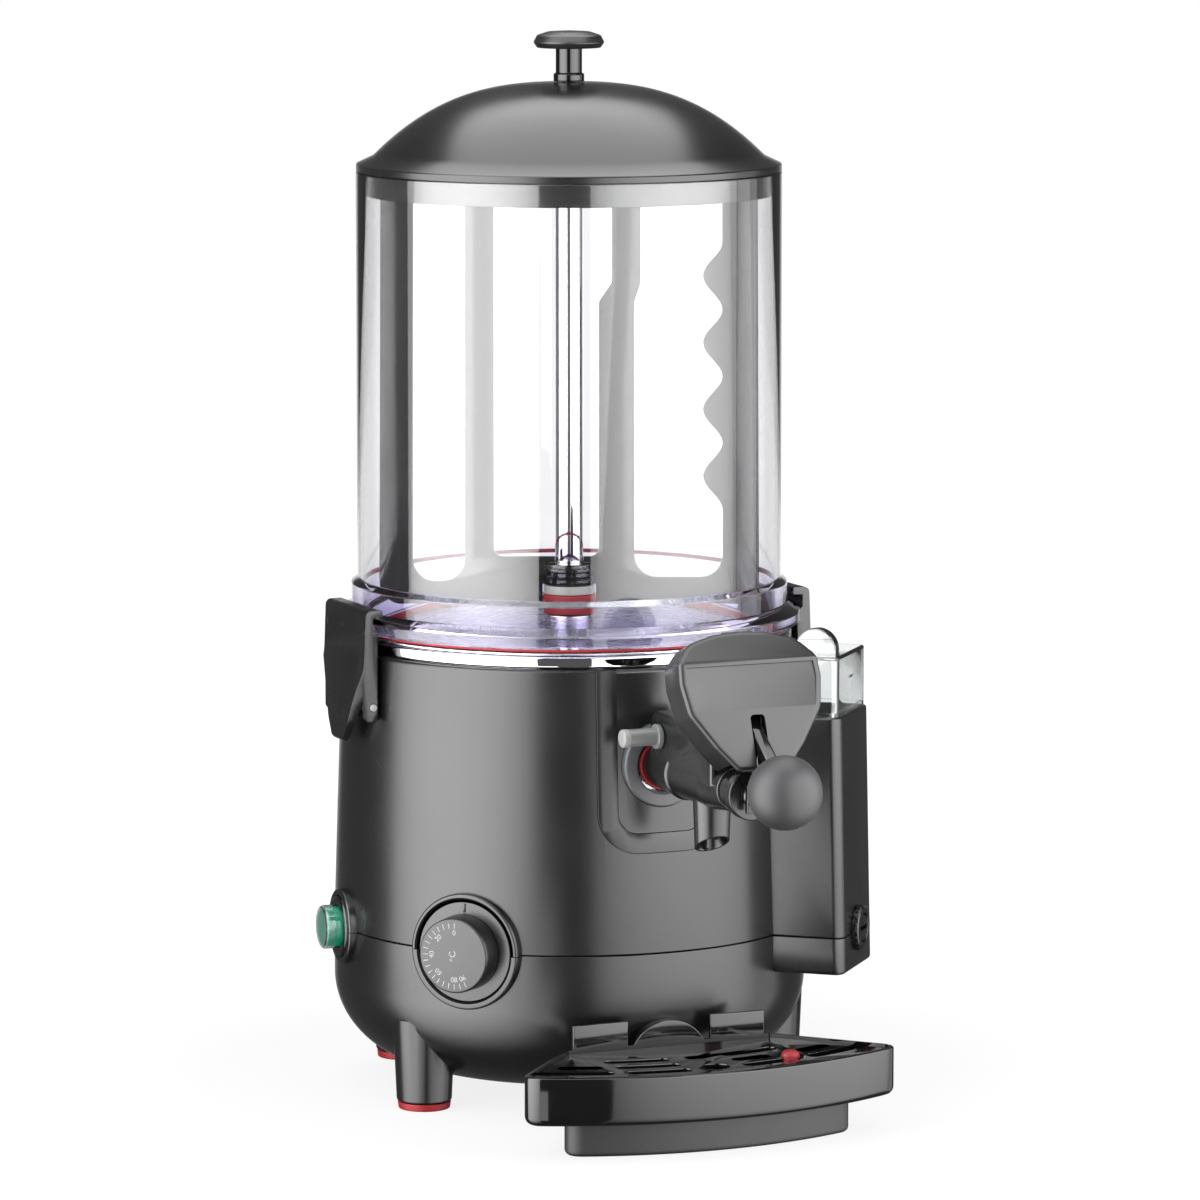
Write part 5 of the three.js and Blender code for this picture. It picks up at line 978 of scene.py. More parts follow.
def shaftTube():
    shape = barShape(shaft["radius"], shaft["low"], shaft["top"], fine, detail["middle"])
    lowBore = barShape(shaft["lowBore"], shaft["low"] - past, shaft["lowBoreTop"])
    highBore = barShape(shaft["highBore"], shaft["highBoreLow"], shaft["top"] + past)
    return cutBy(shape, lowBore, highBore)


def paddleClip():
    wide, deep, low, high = clip["wide"], clip["deep"], clip["low"], clip["high"]
    body = boxShape((-wide, -deep, low), (wide, deep, high), clip["round"])
    slot = boxShape((-wide - past, -clip["slot"], low + clip["web"]),
                    (wide + past, clip["slot"], high + past))
    peg = barShape(clip["peg"], clip["pegLow"], low + past, fine)
    return aimed(joinedTo(cutBy(body, slot), peg), paddle["angle"])


def firstWindow():
    left, right = -paddle["wide"] + paddle["strip"], -paddle["firstRight"]
    low, high, big, small = paddle["firstLow"], paddle["windowTop"], paddle["corner"], paddle["windowCorner"]
    return rounded([(left, low, big), (right, low, big), (right, high, small), (left, high, small)])


def middleWindow():
    low, high, step, small = paddle["middleLow"], paddle["windowTop"], paddle["step"], paddle["windowCorner"]
    left, right, inner = -paddle["middleLeft"], paddle["middleRight"], paddle["stepRight"]
    return rounded([(left, low, small), (inner, low, small), (inner, step - small, 4),
                    (right, step + small, 4), (right, high, small), (left, high, small)])


def waveLine():
    points = []
    for step in range(1, wave["count"] * wave["steps"] + 1):
        turn = step / wave["steps"]
        points.append(Vector((paddle["lastRight"] - wave["depth"] * (1 - math.cos(turn * math.tau)) / 2,
                              wave["top"] - turn * wave["length"])))
    return list(reversed(points))


def lastWindow():
    high, step, big, small = paddle["windowTop"], paddle["step"], paddle["corner"], paddle["windowCorner"]
    right, low = paddle["lastRight"], paddle["lastLow"]
    frameLine = rounded([(right, wave["top"]), (right, high, small), (paddle["lastLeft"], high, small),
                         (paddle["lastLeft"], step + small, 4), (paddle["lastStep"], step - small, 4),
                         (paddle["lastStep"], low, big), (right, low, big)])
    return [*frameLine, *waveLine()]


def paddleSheet():
    wide, low, top = paddle["wide"], paddle["low"], paddle["top"]
    room, notch = paddle["sealRoom"], paddle["notch"]
    right = [(notch, paddle["notchTop"]), (notch, paddle["notchLow"]), (room, paddle["notchLow"]),
             (room, low), (wide, low, paddle["corner"]), (wide, top, paddle["topCorner"])]
    half = paddle["half"]
    sheet = frontShape(pushedShape(rounded(mirrored(right)), -half, half))
    windows = [frontShape(pushedShape(outline, -half - past, half + past))
               for outline in (firstWindow(), middleWindow(), lastWindow())]
    clipRoom = boxShape((-paddle["clipHalf"], -paddle["clipDeep"], paddle["windowTop"] - 2),
                        (paddle["clipHalf"], paddle["clipDeep"], paddle["clipTop"]))
    shaftRoom = barShape(paddle["shaft"], cap["top"], paddle["windowTop"])
    sheet = softened(cutBy(sheet, *windows), paddle["edge"], keen, few)
    return aimed(cutBy(sheet, clipRoom, shaftRoom), paddle["angle"])


addPiece("sealRing", sealRing(), "base", redSilicone)
addPiece("sealBush", sealBush(), "base", whiteAcetal)
addPiece("shaftCap", shaftCap(), "agitator", polishedAbs)
addPiece("shaftTube", shaftTube(), "agitator", polishedSteel)
addPiece("paddleClip", paddleClip(), "agitator", polishedAbs)
addPiece("paddleSheet", paddleSheet(), "agitator", paddlePolypropylene, "paddle")
print("paddle and shaft made")


# domed lid with its knob

lid = {"apex": 552, "fall": 40, "shoulder": 107, "power": 2.7, "steps": 40, "wall": 2.5, "rim": 116.2,
       "rimTop": 507.7, "seat": 503.9, "skirt": 112.4, "skirtInner": 110.2, "skirtLow": 490.9, "round": 1.2,
       "screw": 3.3}
knob = {"screw": 3, "screwLow": 549.2, "low": 552.3, "collar": 8.4, "collarTop": 556.8, "stem": 7.2,
        "stemTop": 571, "cap": 19.4, "capLow": 570, "seat": 7.5, "edge": 573.6, "shoulder": 578.6,
        "top": 580, "gap": 0.3, "rise": 0.6, "inset": 2, "drop": 1.2, "crownInset": 8, "crownRound": 6}


def domeLine(inset):
    points = []
    for step in range(lid["steps"] + 1):
        share = step / lid["steps"]
        points.append(((lid["shoulder"] - inset / 2) * share,
                       lid["apex"] - inset - lid["fall"] * share ** lid["power"]))
    return points


def lidDome():
    profile = [*domeLine(0), (lid["rim"], lid["rimTop"], lid["round"]), (lid["rim"], lid["seat"], plain),
               (lid["skirt"], lid["seat"]), (lid["skirt"], lid["skirtLow"], soft),
               (lid["skirtInner"], lid["skirtLow"], soft), (lid["skirtInner"], lid["seat"]),
               *reversed(domeLine(lid["wall"]))]
    hole = barShape(lid["screw"], lid["apex"] - lid["wall"] - 2, lid["apex"] + 2)
    return cutBy(turnedShape(profile), hole)


def lidStem():
    return turnedShape([(0, knob["screwLow"]), (knob["screw"], knob["screwLow"], fine),
                        (knob["screw"], knob["low"]), (knob["collar"], knob["low"], crisp),
                        (knob["collar"], knob["collarTop"], 1), (knob["stem"], knob["collarTop"], plain),
                        (knob["stem"], knob["stemTop"]), (0, knob["stemTop"])],
                       detail["middle"])


def lidKnob():
    seat, low = knob["seat"], knob["capLow"]
    inside, inset, rise, drop = knob["stemTop"] + knob["gap"], knob["inset"], knob["rise"], knob["drop"]
    return turnedShape([(0, inside), (seat, inside), (seat, low), (knob["cap"] - inset, low + rise, 1),
                        (knob["cap"], knob["edge"], drop), (knob["cap"] - inset, knob["shoulder"] - drop, 2),
                        (knob["cap"] - knob["crownInset"], knob["top"] - rise, knob["crownRound"]),
                        (0, knob["top"])], detail["middle"])


addPiece("lidDome", lidDome(), "lid", texturedAbs)
addPiece("lidStem", lidStem(), "lid", polishedAbs)
addPiece("lidKnob", lidKnob(), "lid", satinNylon)
print("lid made")


# side latches: a sculpted plate that narrows to a round tip, with a cheek at each side

latch = {"angles": {"left": -90, "right": 90}, "half": 30, "cheek": 4, "pivot": (127.8, 219), "pin": 2,
         "play": 0.3, "near": 124, "far": 139, "spread": 1.45, "spreadFrom": 275, "edge": 1.1,
         "cheekEdge": 0.8, "lug": 3.3, "bracketHalf": 25.7, "bracketBack": 116.8, "bracketHigh": 8,
         "pinTip": 1.1, "pinRound": 0.7, "cutPast": 3, "holePast": 5, "shallow": 35}
plateLine = [(122.2, 267.6), (127.9, 267.6), (127.9, 235), (131.7, 219), (133.4, 200), (135.4, 197.8, 1),
             (137.4, 200, 2), (136.2, 219, 30), (132.9, 245.3, 40), (131.9, 271.6, 3.2), (122.2, 271.6, 1)]
faceLine = [(0, 196.2), (6, 197.4, 3), (13.2, 208.5, 20), (21.5, 229, 30), (30, 247, 14), (30.6, 276)]
cheekLine = [(124.8, 211, 4), (132.7, 211, 3), (132.7, 261), (128.8, 262), (124.8, 258)]


def latchShape(angle):
    half, (reach, height) = latch["half"], latch["pivot"]
    plate = sideShape(rounded(plateLine), -half, half)
    spread = pushedShape(rounded(mirrored(faceLine[::-1])), latch["near"] - latch["cutPast"], latch["far"])
    low = [vert for vert in spread.verts if vert.co.z < latch["far"] - 1]
    about = Matrix.Translation((0, -latch["spreadFrom"], 0))
    bmesh.ops.scale(spread, verts=low, vec=(latch["spread"], 1, 1), space=about)
    plate = softened(sharedWith(plate, frontShape(spread)), latch["edge"], latch["shallow"])
    cheeks = []
    for left in (-half, half - latch["cheek"]):
        cheek = sideShape(rounded(cheekLine), left, left + latch["cheek"])
        cheeks.append(softened(cheek, latch["cheekEdge"], steep, few))
    hole = crossBar(latch["pin"] + latch["play"], -half - latch["holePast"], half + latch["holePast"],
                    reach, height)
    return aimed(cutBy(joinedTo(plate, *cheeks), hole), angle)


def latchPin(angle):
    half, (reach, height) = latch["half"], latch["pivot"]
    return aimed(crossBar(latch["pin"], -half - latch["pinTip"], half + latch["pinTip"], reach, height,
                          latch["pinRound"]), angle)


def latchBracket(angle):
    half, (reach, height), high = latch["bracketHalf"], latch["pivot"], latch["bracketHigh"]
    base = boxShape((-half, -reach, height - high), (half, -latch["bracketBack"], height + high), soft)
    lug = crossBar(latch["lug"], -half, half, reach, height, fine)
    hole = crossBar(latch["pin"] + latch["play"], -half - past, half + past, reach, height)
    return cutBy(aimed(cutBy(joinedTo(base, lug), hole), angle), bodySkin(cover["clear"]))


for side, angle in latch["angles"].items():
    addPiece(f"latch{side.title()}", latchShape(angle), f"latch_{side}", tapNylon)
    addPiece(f"latchPin{side.title()}", latchPin(angle), "base", whiteAcetal)
    addPiece(f"latchBracket{side.title()}", latchBracket(angle), "base", satinNylon)
print("latches made")


# lever tap

tap = {"height": 194.5, "barrel": 12.6, "back": 112, "front": 222, "frontRadius": 11.6, "bore": 8.6,
       "grooveFloor": 12.3, "groove": (125.2, 128.4), "bead": 14.8, "beadAt": 161, "beadHalf": 1.2,
       "step": 1, "taperFrom": 200.4, "taperRound": 8, "round": 1}
spout = {"reach": 190, "topShare": 0.86, "radius": 10.4, "bore": 8.8, "low": 153, "cut": 16, "fin": 0.8,
         "finDepth": 4, "finTop": 180, "finGap": 0.3, "over": 3, "round": 0.5}
head = {"half": 12.5, "back": 137, "front": 216, "top": 226, "slope": 5, "edge": 2.2, "cheekGap": 5.5,
        "cheekWall": 4, "cheekFront": 238, "cheekTop": 246, "cheekLow": 210.9, "cheekFrontLow": 213.9,
        "cheekEdge": 1.2, "sweepLow": 218, "sweepFront": 280, "rounds": (2, 4, 3), "cheekRounds": (3, 5, 4)}
collar = {"bore": 15.6, "flange": 26, "flangeBack": 117.6, "back": 120, "radius": 23, "front": 129.4,
          "round": 1.4}
ringSeal = {"radius": 14, "tube": 1.2, "reach": 126.8}
endCap = {"bore": 2.9, "plug": 8.2, "plugBack": 215.3, "neckBack": 222.3, "neck": 10.6, "flange": 13.4,
          "flangeBack": 234, "flangeFront": 241, "round": 1}
rod = {"piston": 7.9, "back": 177, "face": 183, "radius": 2.6, "head": 6, "headBack": (241.8, 244),
       "headFront": (251.6, 253.8), "round": 0.4}
lever = {"pivot": (230, 238), "hub": 6, "pin": 2, "play": 0.3, "half": 3.5, "ball": (280, 201.5),
         "ballRadius": 19.4, "neckHigh": 3.5, "neckRound": 1.4, "neckShare": 0.86, "forkReach": 246.8,
         "forkHalf": 1.7, "forkLow": 186, "forkTop": 201, "forkWide": 6.5, "slot": 3.2, "slotTop": 197.7,
         "pinHalf": 13.2, "edge": 0.8, "seat": 5.2, "holeHalf": 20, "ballPlay": 0.25, "kneeRound": 4,
         "shoulderRound": 3}
lock = {"reach": 151, "height": 213.5, "radius": 4.7, "from": -34.5, "to": -2.5, "flange": 6.6,
        "flangeFrom": -15.8, "flangeTo": -12.8, "flangeRound": 0.7, "tip": 4.9, "tipFrom": -35,
        "tipTo": -30.5, "tipGap": 0.02, "round": 1.2}


def onTap(shape):
    return frontShape(shape, tap["height"])


def tapBarrel():
    low, high = tap["groove"]
    full = tap["barrel"] + tap["step"]
    at, half = tap["beadAt"], tap["beadHalf"]
    return onTap(turnedShape([(0, tap["back"]), (tap["barrel"], tap["back"], soft), (tap["barrel"], low),
                              (tap["grooveFloor"], low), (tap["grooveFloor"], high),
                              (tap["barrel"], high, crisp), (full, at - half, soft),
                              (tap["bead"], at, plain), (full, at + half, soft),
                              (full, tap["taperFrom"], tap["taperRound"]),
                              (tap["frontRadius"], tap["front"], tap["round"]),
                              (0, tap["front"])], detail["middle"]))


def spoutTube(radius, low, lowRound=0):
    profile = [(0, low), (radius * spout["topShare"], low, lowRound), (radius, tap["height"]),
               (0, tap["height"])]
    return shifted(turnedShape(profile, detail["middle"]), 0, -spout["reach"], 0)


def spoutFins():
    inner, outer = spout["bore"] - spout["finDepth"], spout["radius"]
    fins = []
    for side in (-1, 1):
        near, far = sorted((side * inner, side * outer))
        fins.append(boxShape((-spout["fin"], near - spout["reach"], spout["low"]),
                             (spout["fin"], far - spout["reach"], spout["finTop"]), fine))
    return beside(*fins)


def mouthCut():
    low, wide = spout["low"], spout["radius"] + spout["over"]
    near, far = spout["reach"] - wide, spout["reach"] + wide
    return sideShape([Vector(point) for point in ((near, low - 4), (far, low - 4), (far, low + spout["cut"]),
                                                  (near, low))],
                     -wide, wide)


def tapHead():
    back, front, top, slope = head["back"], head["front"], head["top"], head["slope"]
    frontRound, topRound, backRound = head["rounds"]
    outline = rounded([(back, tap["height"]), (front, tap["height"]), (front, top, frontRound),
                       (back + slope, top, topRound), (back, top - slope, backRound)])
    return softened(sideShape(outline, -head["half"], head["half"]), head["edge"], steep, 4)


def tapCheeks():
    back, front, top = head["front"] - 4, head["cheekFront"], head["cheekTop"]
    lowRound, frontRound, topRound = head["cheekRounds"]
    outline = rounded([(back, head["cheekLow"]), (front, head["cheekFrontLow"], lowRound),
                       (front, top, frontRound), (tap["front"], top, topRound), (back, head["top"])])
    inner, outer = head["cheekGap"], head["cheekGap"] + head["cheekWall"]
    return [softened(sideShape(outline, *sorted((side * inner, side * outer))), head["cheekEdge"], steep, few)
            for side in (-1, 1)]


def leverHole():
    half, (reach, height) = lever["holeHalf"], lever["pivot"]
    return crossBar(lever["pin"] + lever["play"], -half, half, reach, height)


def tapBody():
    shape = joinedTo(tapBarrel(), spoutTube(spout["radius"], spout["low"], spout["round"]), tapHead(),
                     *tapCheeks())
    bore = onTap(barShape(tap["bore"], tap["back"] - 2, tap["front"] + 2))
    lockHole = crossBar(lock["radius"] + lever["play"], -lever["holeHalf"], lock["to"] + lever["play"],
                        lock["reach"], lock["height"])
    shape = cutBy(shape, bore, spoutTube(spout["bore"], spout["low"] - spout["over"]), mouthCut(), lockHole)
    fins = sharedWith(cutBy(spoutFins(), mouthCut()),
                      spoutTube(spout["radius"] - spout["finGap"], spout["low"]))
    gap = head["cheekGap"]
    sweep = boxShape((-gap, -head["sweepFront"], head["sweepLow"]),
                     (gap, -head["front"] + 2, head["cheekTop"] + 2))
    return cutBy(joinedTo(shape, fins), leverHole(), sweep)


def tapCollar():
    return onTap(turnedShape([(collar["bore"], collar["flangeBack"]),
                              (collar["flange"], collar["flangeBack"], plain),
                              (collar["flange"], collar["back"], plain), (collar["radius"], collar["back"]),
                              (collar["radius"], collar["front"], collar["round"]),
                              (collar["bore"], collar["front"], 1)],
                             detail["middle"]))


def tapRing():
    # a circle spun about the tap's own axis
    radius, tube = ringSeal["radius"] - ringSeal["tube"], ringSeal["tube"]
    square = [(radius - tube, -tube, tube), (radius + tube, -tube, tube), (radius + tube, tube, tube),
              (radius - tube, tube, tube)]
    shape = turnedShape(square, detail["middle"])
    return onTap(shifted(shape, 0, 0, ringSeal["reach"]))


def tapCap():
    bore, round = endCap["bore"], endCap["round"]
    return onTap(turnedShape([(bore, endCap["plugBack"]), (endCap["plug"], endCap["plugBack"]),
                              (endCap["plug"], endCap["neckBack"]), (endCap["neck"], endCap["neckBack"]),
                              (endCap["neck"], endCap["flangeBack"]),
                              (endCap["flange"], endCap["flangeBack"], round),
                              (endCap["flange"], endCap["flangeFront"], round),
                              (bore, endCap["flangeFront"])],
                             detail["middle"]))


def tapPiston():
    radius, wide, round = rod["radius"], rod["head"], rod["round"]
    (backLow, backHigh), (frontLow, frontHigh) = rod["headBack"], rod["headFront"]
    return onTap(turnedShape([(0, rod["back"]), (rod["piston"], rod["back"], round),
                              (rod["piston"], rod["face"], round), (radius, rod["face"]), (radius, backLow),
                              (wide, backLow, round), (wide, backHigh, round), (radius, backHigh),
                              (radius, frontLow), (wide, frontLow, round), (wide, frontHigh, round),
                              (0, frontHigh)], detail["small"]))


def leverLine():
    return Vector(lever["ball"]) - Vector(lever["pivot"])


def ballShape(grow=0):
    # a ball with a small flat seat where the lever goes in, turned about the lever's own line
    radius = lever["ballRadius"] + grow
    seat = lever["seat"] + grow
    start = math.asin(seat / radius)
    points = []
    for step in range(detail["small"] + 1):
        turn = start + (math.pi - start) * step / detail["small"]
        points.append((radius * math.sin(turn), -radius * math.cos(turn)))
    points[-1] = (0, radius)
    shape = turnedShape([(0, points[0][1]), *points], detail["middle"])
    along = leverLine().normalized()
    tilt = Vector((0, -along.x, along.y)).to_track_quat("Z", "X").to_matrix().to_4x4()
    reach, height = lever["ball"]
    return moved(shape, tilt, Matrix.Translation((0, -reach, height)))


def leverArm():
    along = leverLine()
    across = Vector((-along.y, along.x)).normalized()
    pivot, high, share = Vector(lever["pivot"]), lever["neckHigh"], lever["neckShare"]
    end = pivot + along * share
    neck = sideShape([pivot - across * high, end - across * high, end + across * high, pivot + across * high],
                     -lever["half"], lever["half"])
    return softened(neck, lever["neckRound"], steep)


def leverFork():
    reach, half, low = lever["forkReach"], lever["forkHalf"], lever["forkLow"]
    (pivotReach, pivotHeight), hub = lever["pivot"], lever["hub"]
    knee, top = tap["height"] + rod["head"] * 2, pivotHeight - hub
    bend, shoulder = lever["kneeRound"], lever["shoulderRound"]
    arm = sideShape(rounded([(reach - half, low), (reach + half, low), (reach + half, knee, bend),
                             (pivotReach + hub * 2, top, bend), (pivotReach, pivotHeight),
                             (pivotReach + hub / 2, top, shoulder), (reach - half, knee, bend)]),
                    -lever["half"], lever["half"])
    wide = lever["forkWide"]
    foot = boxShape((-wide, -reach - half, low), (wide, -reach + half, lever["forkTop"]), soft)
    slot = boxShape((-lever["slot"], -lever["ball"][0], low - 2),
                    (lever["slot"], -pivotReach, lever["slotTop"]))
    return cutBy(joinedTo(softened(arm, lever["edge"], steep, few), foot), slot)


def tapLever():
    reach, height = lever["pivot"]
    hub = crossBar(lever["hub"], -lever["half"], lever["half"], reach, height, plain)
    return cutBy(joinedTo(leverArm(), leverFork(), hub), leverHole(), ballShape(lever["ballPlay"]))


def leverPin():
    reach, height = lever["pivot"]
    return crossBar(lever["pin"], -lever["pinHalf"], lever["pinHalf"], reach, height, plain)


def lockPin():
    reach, height = lock["reach"], lock["height"]
    pin = crossBar(lock["radius"], lock["from"], lock["to"], reach, height, soft)
    flange = crossBar(lock["flange"], lock["flangeFrom"], lock["flangeTo"], reach, height,
                      lock["flangeRound"])
    return joinedTo(pin, flange)


def lockTip():
    # the pushed-on end of the pin, hollow behind
    tip = crossBar(lock["tip"], lock["tipFrom"], lock["tipTo"], lock["reach"], lock["height"], lock["round"])
    room = crossBar(lock["radius"] + lock["tipGap"], lock["from"], lock["tipTo"] + 1, lock["reach"],
                    lock["height"], soft)
    return cutBy(tip, room)


addPiece("tapBody", tapBody(), "base", tapNylon)
addPiece("tapCollar", tapCollar(), "base", greyAcetal)
addPiece("tapRing", tapRing(), "base", redSilicone)
addPiece("tapCap", tapCap(), "base", tapNylon)
addPiece("tapPiston", tapPiston(), "piston", zincSteel)
addPiece("tapLever", tapLever(), "lever", polishedAbs)
addPiece("tapBall", ballShape(), "lever", dullNylon)
addPiece("leverPin", leverPin(), "base", satinNickel)
addPiece("lockPin", lockPin(), "lock_pin", paleAcetal)
addPiece("lockTip", lockTip(), "lock_pin", whiteAcetal, "")
print("tap made")


# cover of the tap: a leaning shell with a rounded border and a sunk panel that runs out downwards

hood = {"lean": -20, "plane": 239.6, "shoulder": 255, "depth": 20, "wall": 2.4, "round": 2.6,
        "panelInset": 3.6, "panelLow": 239, "panelTop": 263, "panelDepth": 1.5, "browLow": 265,
        "browTurn": 0.42, "slot": 4.1, "slotTop": 237.5, "ribHalf": (9.8, 12.2), "ribReach": (224, 259.6),
        "ribHeight": (232, 244), "badge": (9, 1.2, 0.5), "badgeBack": 11, "crown": 282, "segments": 5,
        "panelReach": 8, "edge": 0.45, "slotReach": 300, "slotLow": 150}
hoodLine = [(14, 207, 4), (25, 220, 14), (37.5, 238.5, 12), (40.2, 255, 12), (39.4, 266.5, 8),
            (31, 276.4, 14), (15, 281.2, 40), (0, hood["crown"])]


def hoodOutline():
    return rounded(mirrored(hoodLine))


def leaned(shape):
    about = Vector((0, -hood["plane"], hood["shoulder"]))
    turn = Matrix.Rotation(math.radians(hood["lean"]), 4, "X")
    return moved(shape, Matrix.Translation(-about), turn, Matrix.Translation(about))


def hoodBlock(outline, back, front, frontRound=0):
    shape = pushedShape(outline, back, front)
    if frontRound:
        roundEdges(shape, rimAt(shape, front), frontRound, hood["segments"])
    return frontShape(shape)


def browed(shape):
    # above the panel the face turns further back
    low, back, depth = hood["browLow"], hood["plane"] - hood["depth"], hood["depth"]
    bmesh.ops.bisect_plane(shape, geom=[*shape.verts, *shape.edges, *shape.faces], plane_co=(0, 0, low),
                           plane_no=(0, 0, 1))
    for vert in shape.verts:
        if vert.co.z > low:
            vert.co.y += (vert.co.z - low) * hood["browTurn"] * max(-vert.co.y - back, 0) / depth
    return shape


def panelTool():
    # its floor slopes, so that the panel is sunk at its top and level with the face at its foot
    low, top = hood["panelLow"], hood["panelTop"]
    inset = drawnIn(hoodOutline(), hood["panelInset"])
    zone = hoodBlock(inset, hood["plane"], hood["plane"] + hood["panelReach"])
    far, near, back = gauge["reach"], -hood["plane"] - hood["depth"], -hood["plane"] + hood["depth"]
    zone = sharedWith(zone, boxShape((-far, near, low), (far, back, top)))
    slope = Matrix.Identity(4)
    slope[1][2] = hood["panelDepth"] / (top - low)
    slope[1][3] = -slope[1][2] * low
    return moved(zone, slope)


def tapCover():
    plane, depth, wall = hood["plane"], hood["depth"], hood["wall"]
    outline = hoodOutline()
    inner = drawnIn(outline, wall)
    lowest = min(point.y for point in inner)
    for point in inner:
        if point.y < lowest + 1:
            point.y = hoodLine[0][1] - 4
    shape = browed(hoodBlock(outline, plane - depth, plane, hood["round"]))
    shape = cutBy(shape, browed(hoodBlock(inner, plane - depth - 2, plane - wall)), panelTool())
    shape = softened(shape, hood["edge"], steep, few)
    half, tall, proud = hood["badge"]
    at = plane - hood["badgeBack"]
    badge = boxShape((-half, -at - tall, hood["crown"] - past), (half, -at + tall, hood["crown"] + proud),
                     fine)
    shape = leaned(joinedTo(shape, badge))
    block = leaned(browed(hoodBlock(outline, plane - depth, plane - wall / 2)))
    ribs = []
    (back, front), (low, high), (near, far) = hood["ribReach"], hood["ribHeight"], hood["ribHalf"]
    for side in (-1, 1):
        left, right = sorted((side * near, side * far))
        ribs.append(sharedWith(boxShape((left, -front, low), (right, -back, high)), block.copy()))
    block.free()
    slot = boxShape((-hood["slot"], -hood["slotReach"], hood["slotLow"]),
                    (hood["slot"], -lever["pivot"][0] - lever["hub"], hood["slotTop"]))
    roundEdges(slot, [edge for edge in rimAt(slot, hood["slotTop"])
                      if abs(edge.verts[0].co.x - edge.verts[1].co.x) < detail["weld"]], 2)
    return cutBy(joinedTo(shape, *ribs), slot, leverHole())


addPiece("tapCover", tapCover(), "base", satinNylon)
print("tap cover made")


# drip tray, slotted grid and float

tray = {"half": 111.5, "rim": 45, "floor": 19, "base": 3, "front": 222, "back": 133.4, "backHalf": 60,
        "arc": 225, "corner": 9, "backCorner": 4.5, "steps": 24, "spare": 14, "wall": 2.6, "foot": 6.5,
        "footSegments": 6, "lip": 0.9, "inRound": 3}
stand = {"half": 87, "inset": 14, "back": 141, "backHalf": 50, "top": 18.98, "hollowTop": 17.4, "foot": 3}
lugs = {"from": 24, "to": 56, "thick": 2.4, "low": 43, "top": 58, "round": 0.6}
arch = {"half": 20.5, "top": 56.8, "back": 129.5, "thick": 2.2, "round": 0.6}
post = {"radius": 4, "low": 21, "top": 39.7, "places": ((66, 200), (42, 144))}
grid = {"low": 40, "top": 43, "inset": 2.9, "slot": 4.4, "slotRound": 4, "firstRow": 23, "pitch": 14.5,
        "rows": 3, "inner": 15, "middle": 50, "outer": 56, "shares": (1, 0.82, 0.6), "endMargin": 7,
        "steps": 8, "cup": (196, 7.5), "floatHole": 5.8, "floatShare": 1.5, "edge": 0.7}
level = {"x": 47, "reach": 188, "base": 8, "low": 23.4, "baseHigh": 28.4, "baseRound": 0.8, "radius": 5,
         "top": 46.5, "round": 3}


def frontArc(setback, half):
    radius = tray["arc"] - setback
    centre = tray["arc"] - tray["front"]
    straight = half - tray["spare"]
    places = [-straight + 2 * straight * step / tray["steps"] for step in range(tray["steps"] + 1)]
    return [(x, centre - math.sqrt(radius ** 2 - x ** 2)) for x in (-half, *places, half)]


def trayOutline(setback=0, half=tray["half"], back=tray["back"], backHalf=tray["backHalf"]):
    line = frontArc(setback, half)
    line[0] = (*line[0], tray["corner"])
    line[-1] = (*line[-1], tray["corner"])
    return rounded([*line, (backHalf, -back, tray["backCorner"]), (-backHalf, -back, tray["backCorner"])])


def standOutline():
    return trayOutline(stand["inset"], stand["half"], stand["back"], stand["backHalf"])


def basinShape():
    outer = pushedShape(trayOutline(), tray["floor"], tray["rim"])
    roundEdges(outer, rimAt(outer, tray["floor"]), tray["foot"], tray["footSegments"])
    roundEdges(outer, rimAt(outer, tray["rim"]), tray["lip"])
    inner = pushedShape(drawnIn(trayOutline(), tray["wall"]), tray["floor"] + tray["base"], tray["rim"] + 2)
    roundEdges(inner, rimAt(inner, tray["floor"] + tray["base"]), tray["inRound"], 4)
    return cutBy(outer, inner)


def standShape():
    outer = pushedShape(standOutline(), 0, stand["top"])
    roundEdges(outer, rimAt(outer, 0), stand["foot"], 4)
    return cutBy(outer, pushedShape(drawnIn(standOutline(), tray["wall"]), -2, stand["hollowTop"]))


def archTab():
    rise = arch["top"] - tray["rim"]
    radius = (arch["half"] ** 2 + rise ** 2) / (2 * rise)
    disc = frontShape(barShape(radius, arch["back"], tray["back"] + arch["thick"], arch["round"],
                               detail["big"]),
                      arch["top"] - radius)
    return cutBy(disc, slabBetween(-radius * 2, lugs["low"]))


def dripTray():
    parts = [archTab()]
    for side in (-1, 1):
        left, right = sorted((side * lugs["from"], side * lugs["to"]))
        parts.append(boxShape((left, -tray["back"] - lugs["thick"], lugs["low"]),
                              (right, -tray["back"], lugs["top"]), lugs["round"]))
        parts += [shifted(barShape(post["radius"], post["low"], post["top"]), side * x, -reach, 0)
                  for x, reach in post["places"]]
    return joinedTo(basinShape(), *parts)


def gridSlot(row, start, stop):
    # a slot that follows the tray's front curve, with round ends
    radius = tray["arc"] - grid["firstRow"] - row * grid["pitch"]
    centre = tray["arc"] - tray["front"]
    half, steps = grid["slot"], grid["steps"]

    def at(step, offset):
        turn = math.asin((start + (stop - start) * step / steps) / radius)
        return ((radius + offset) * math.sin(turn), centre - (radius + offset) * math.cos(turn))

    line = [at(step, half) for step in range(steps + 1)] + [at(step, -half) for step in range(steps, -1, -1)]
    for corner in (0, steps, steps + 1, -1):
        line[corner] = (*line[corner], grid["slotRound"])
    return pushedShape(rounded(line), grid["low"] - 2, grid["top"] + 2)


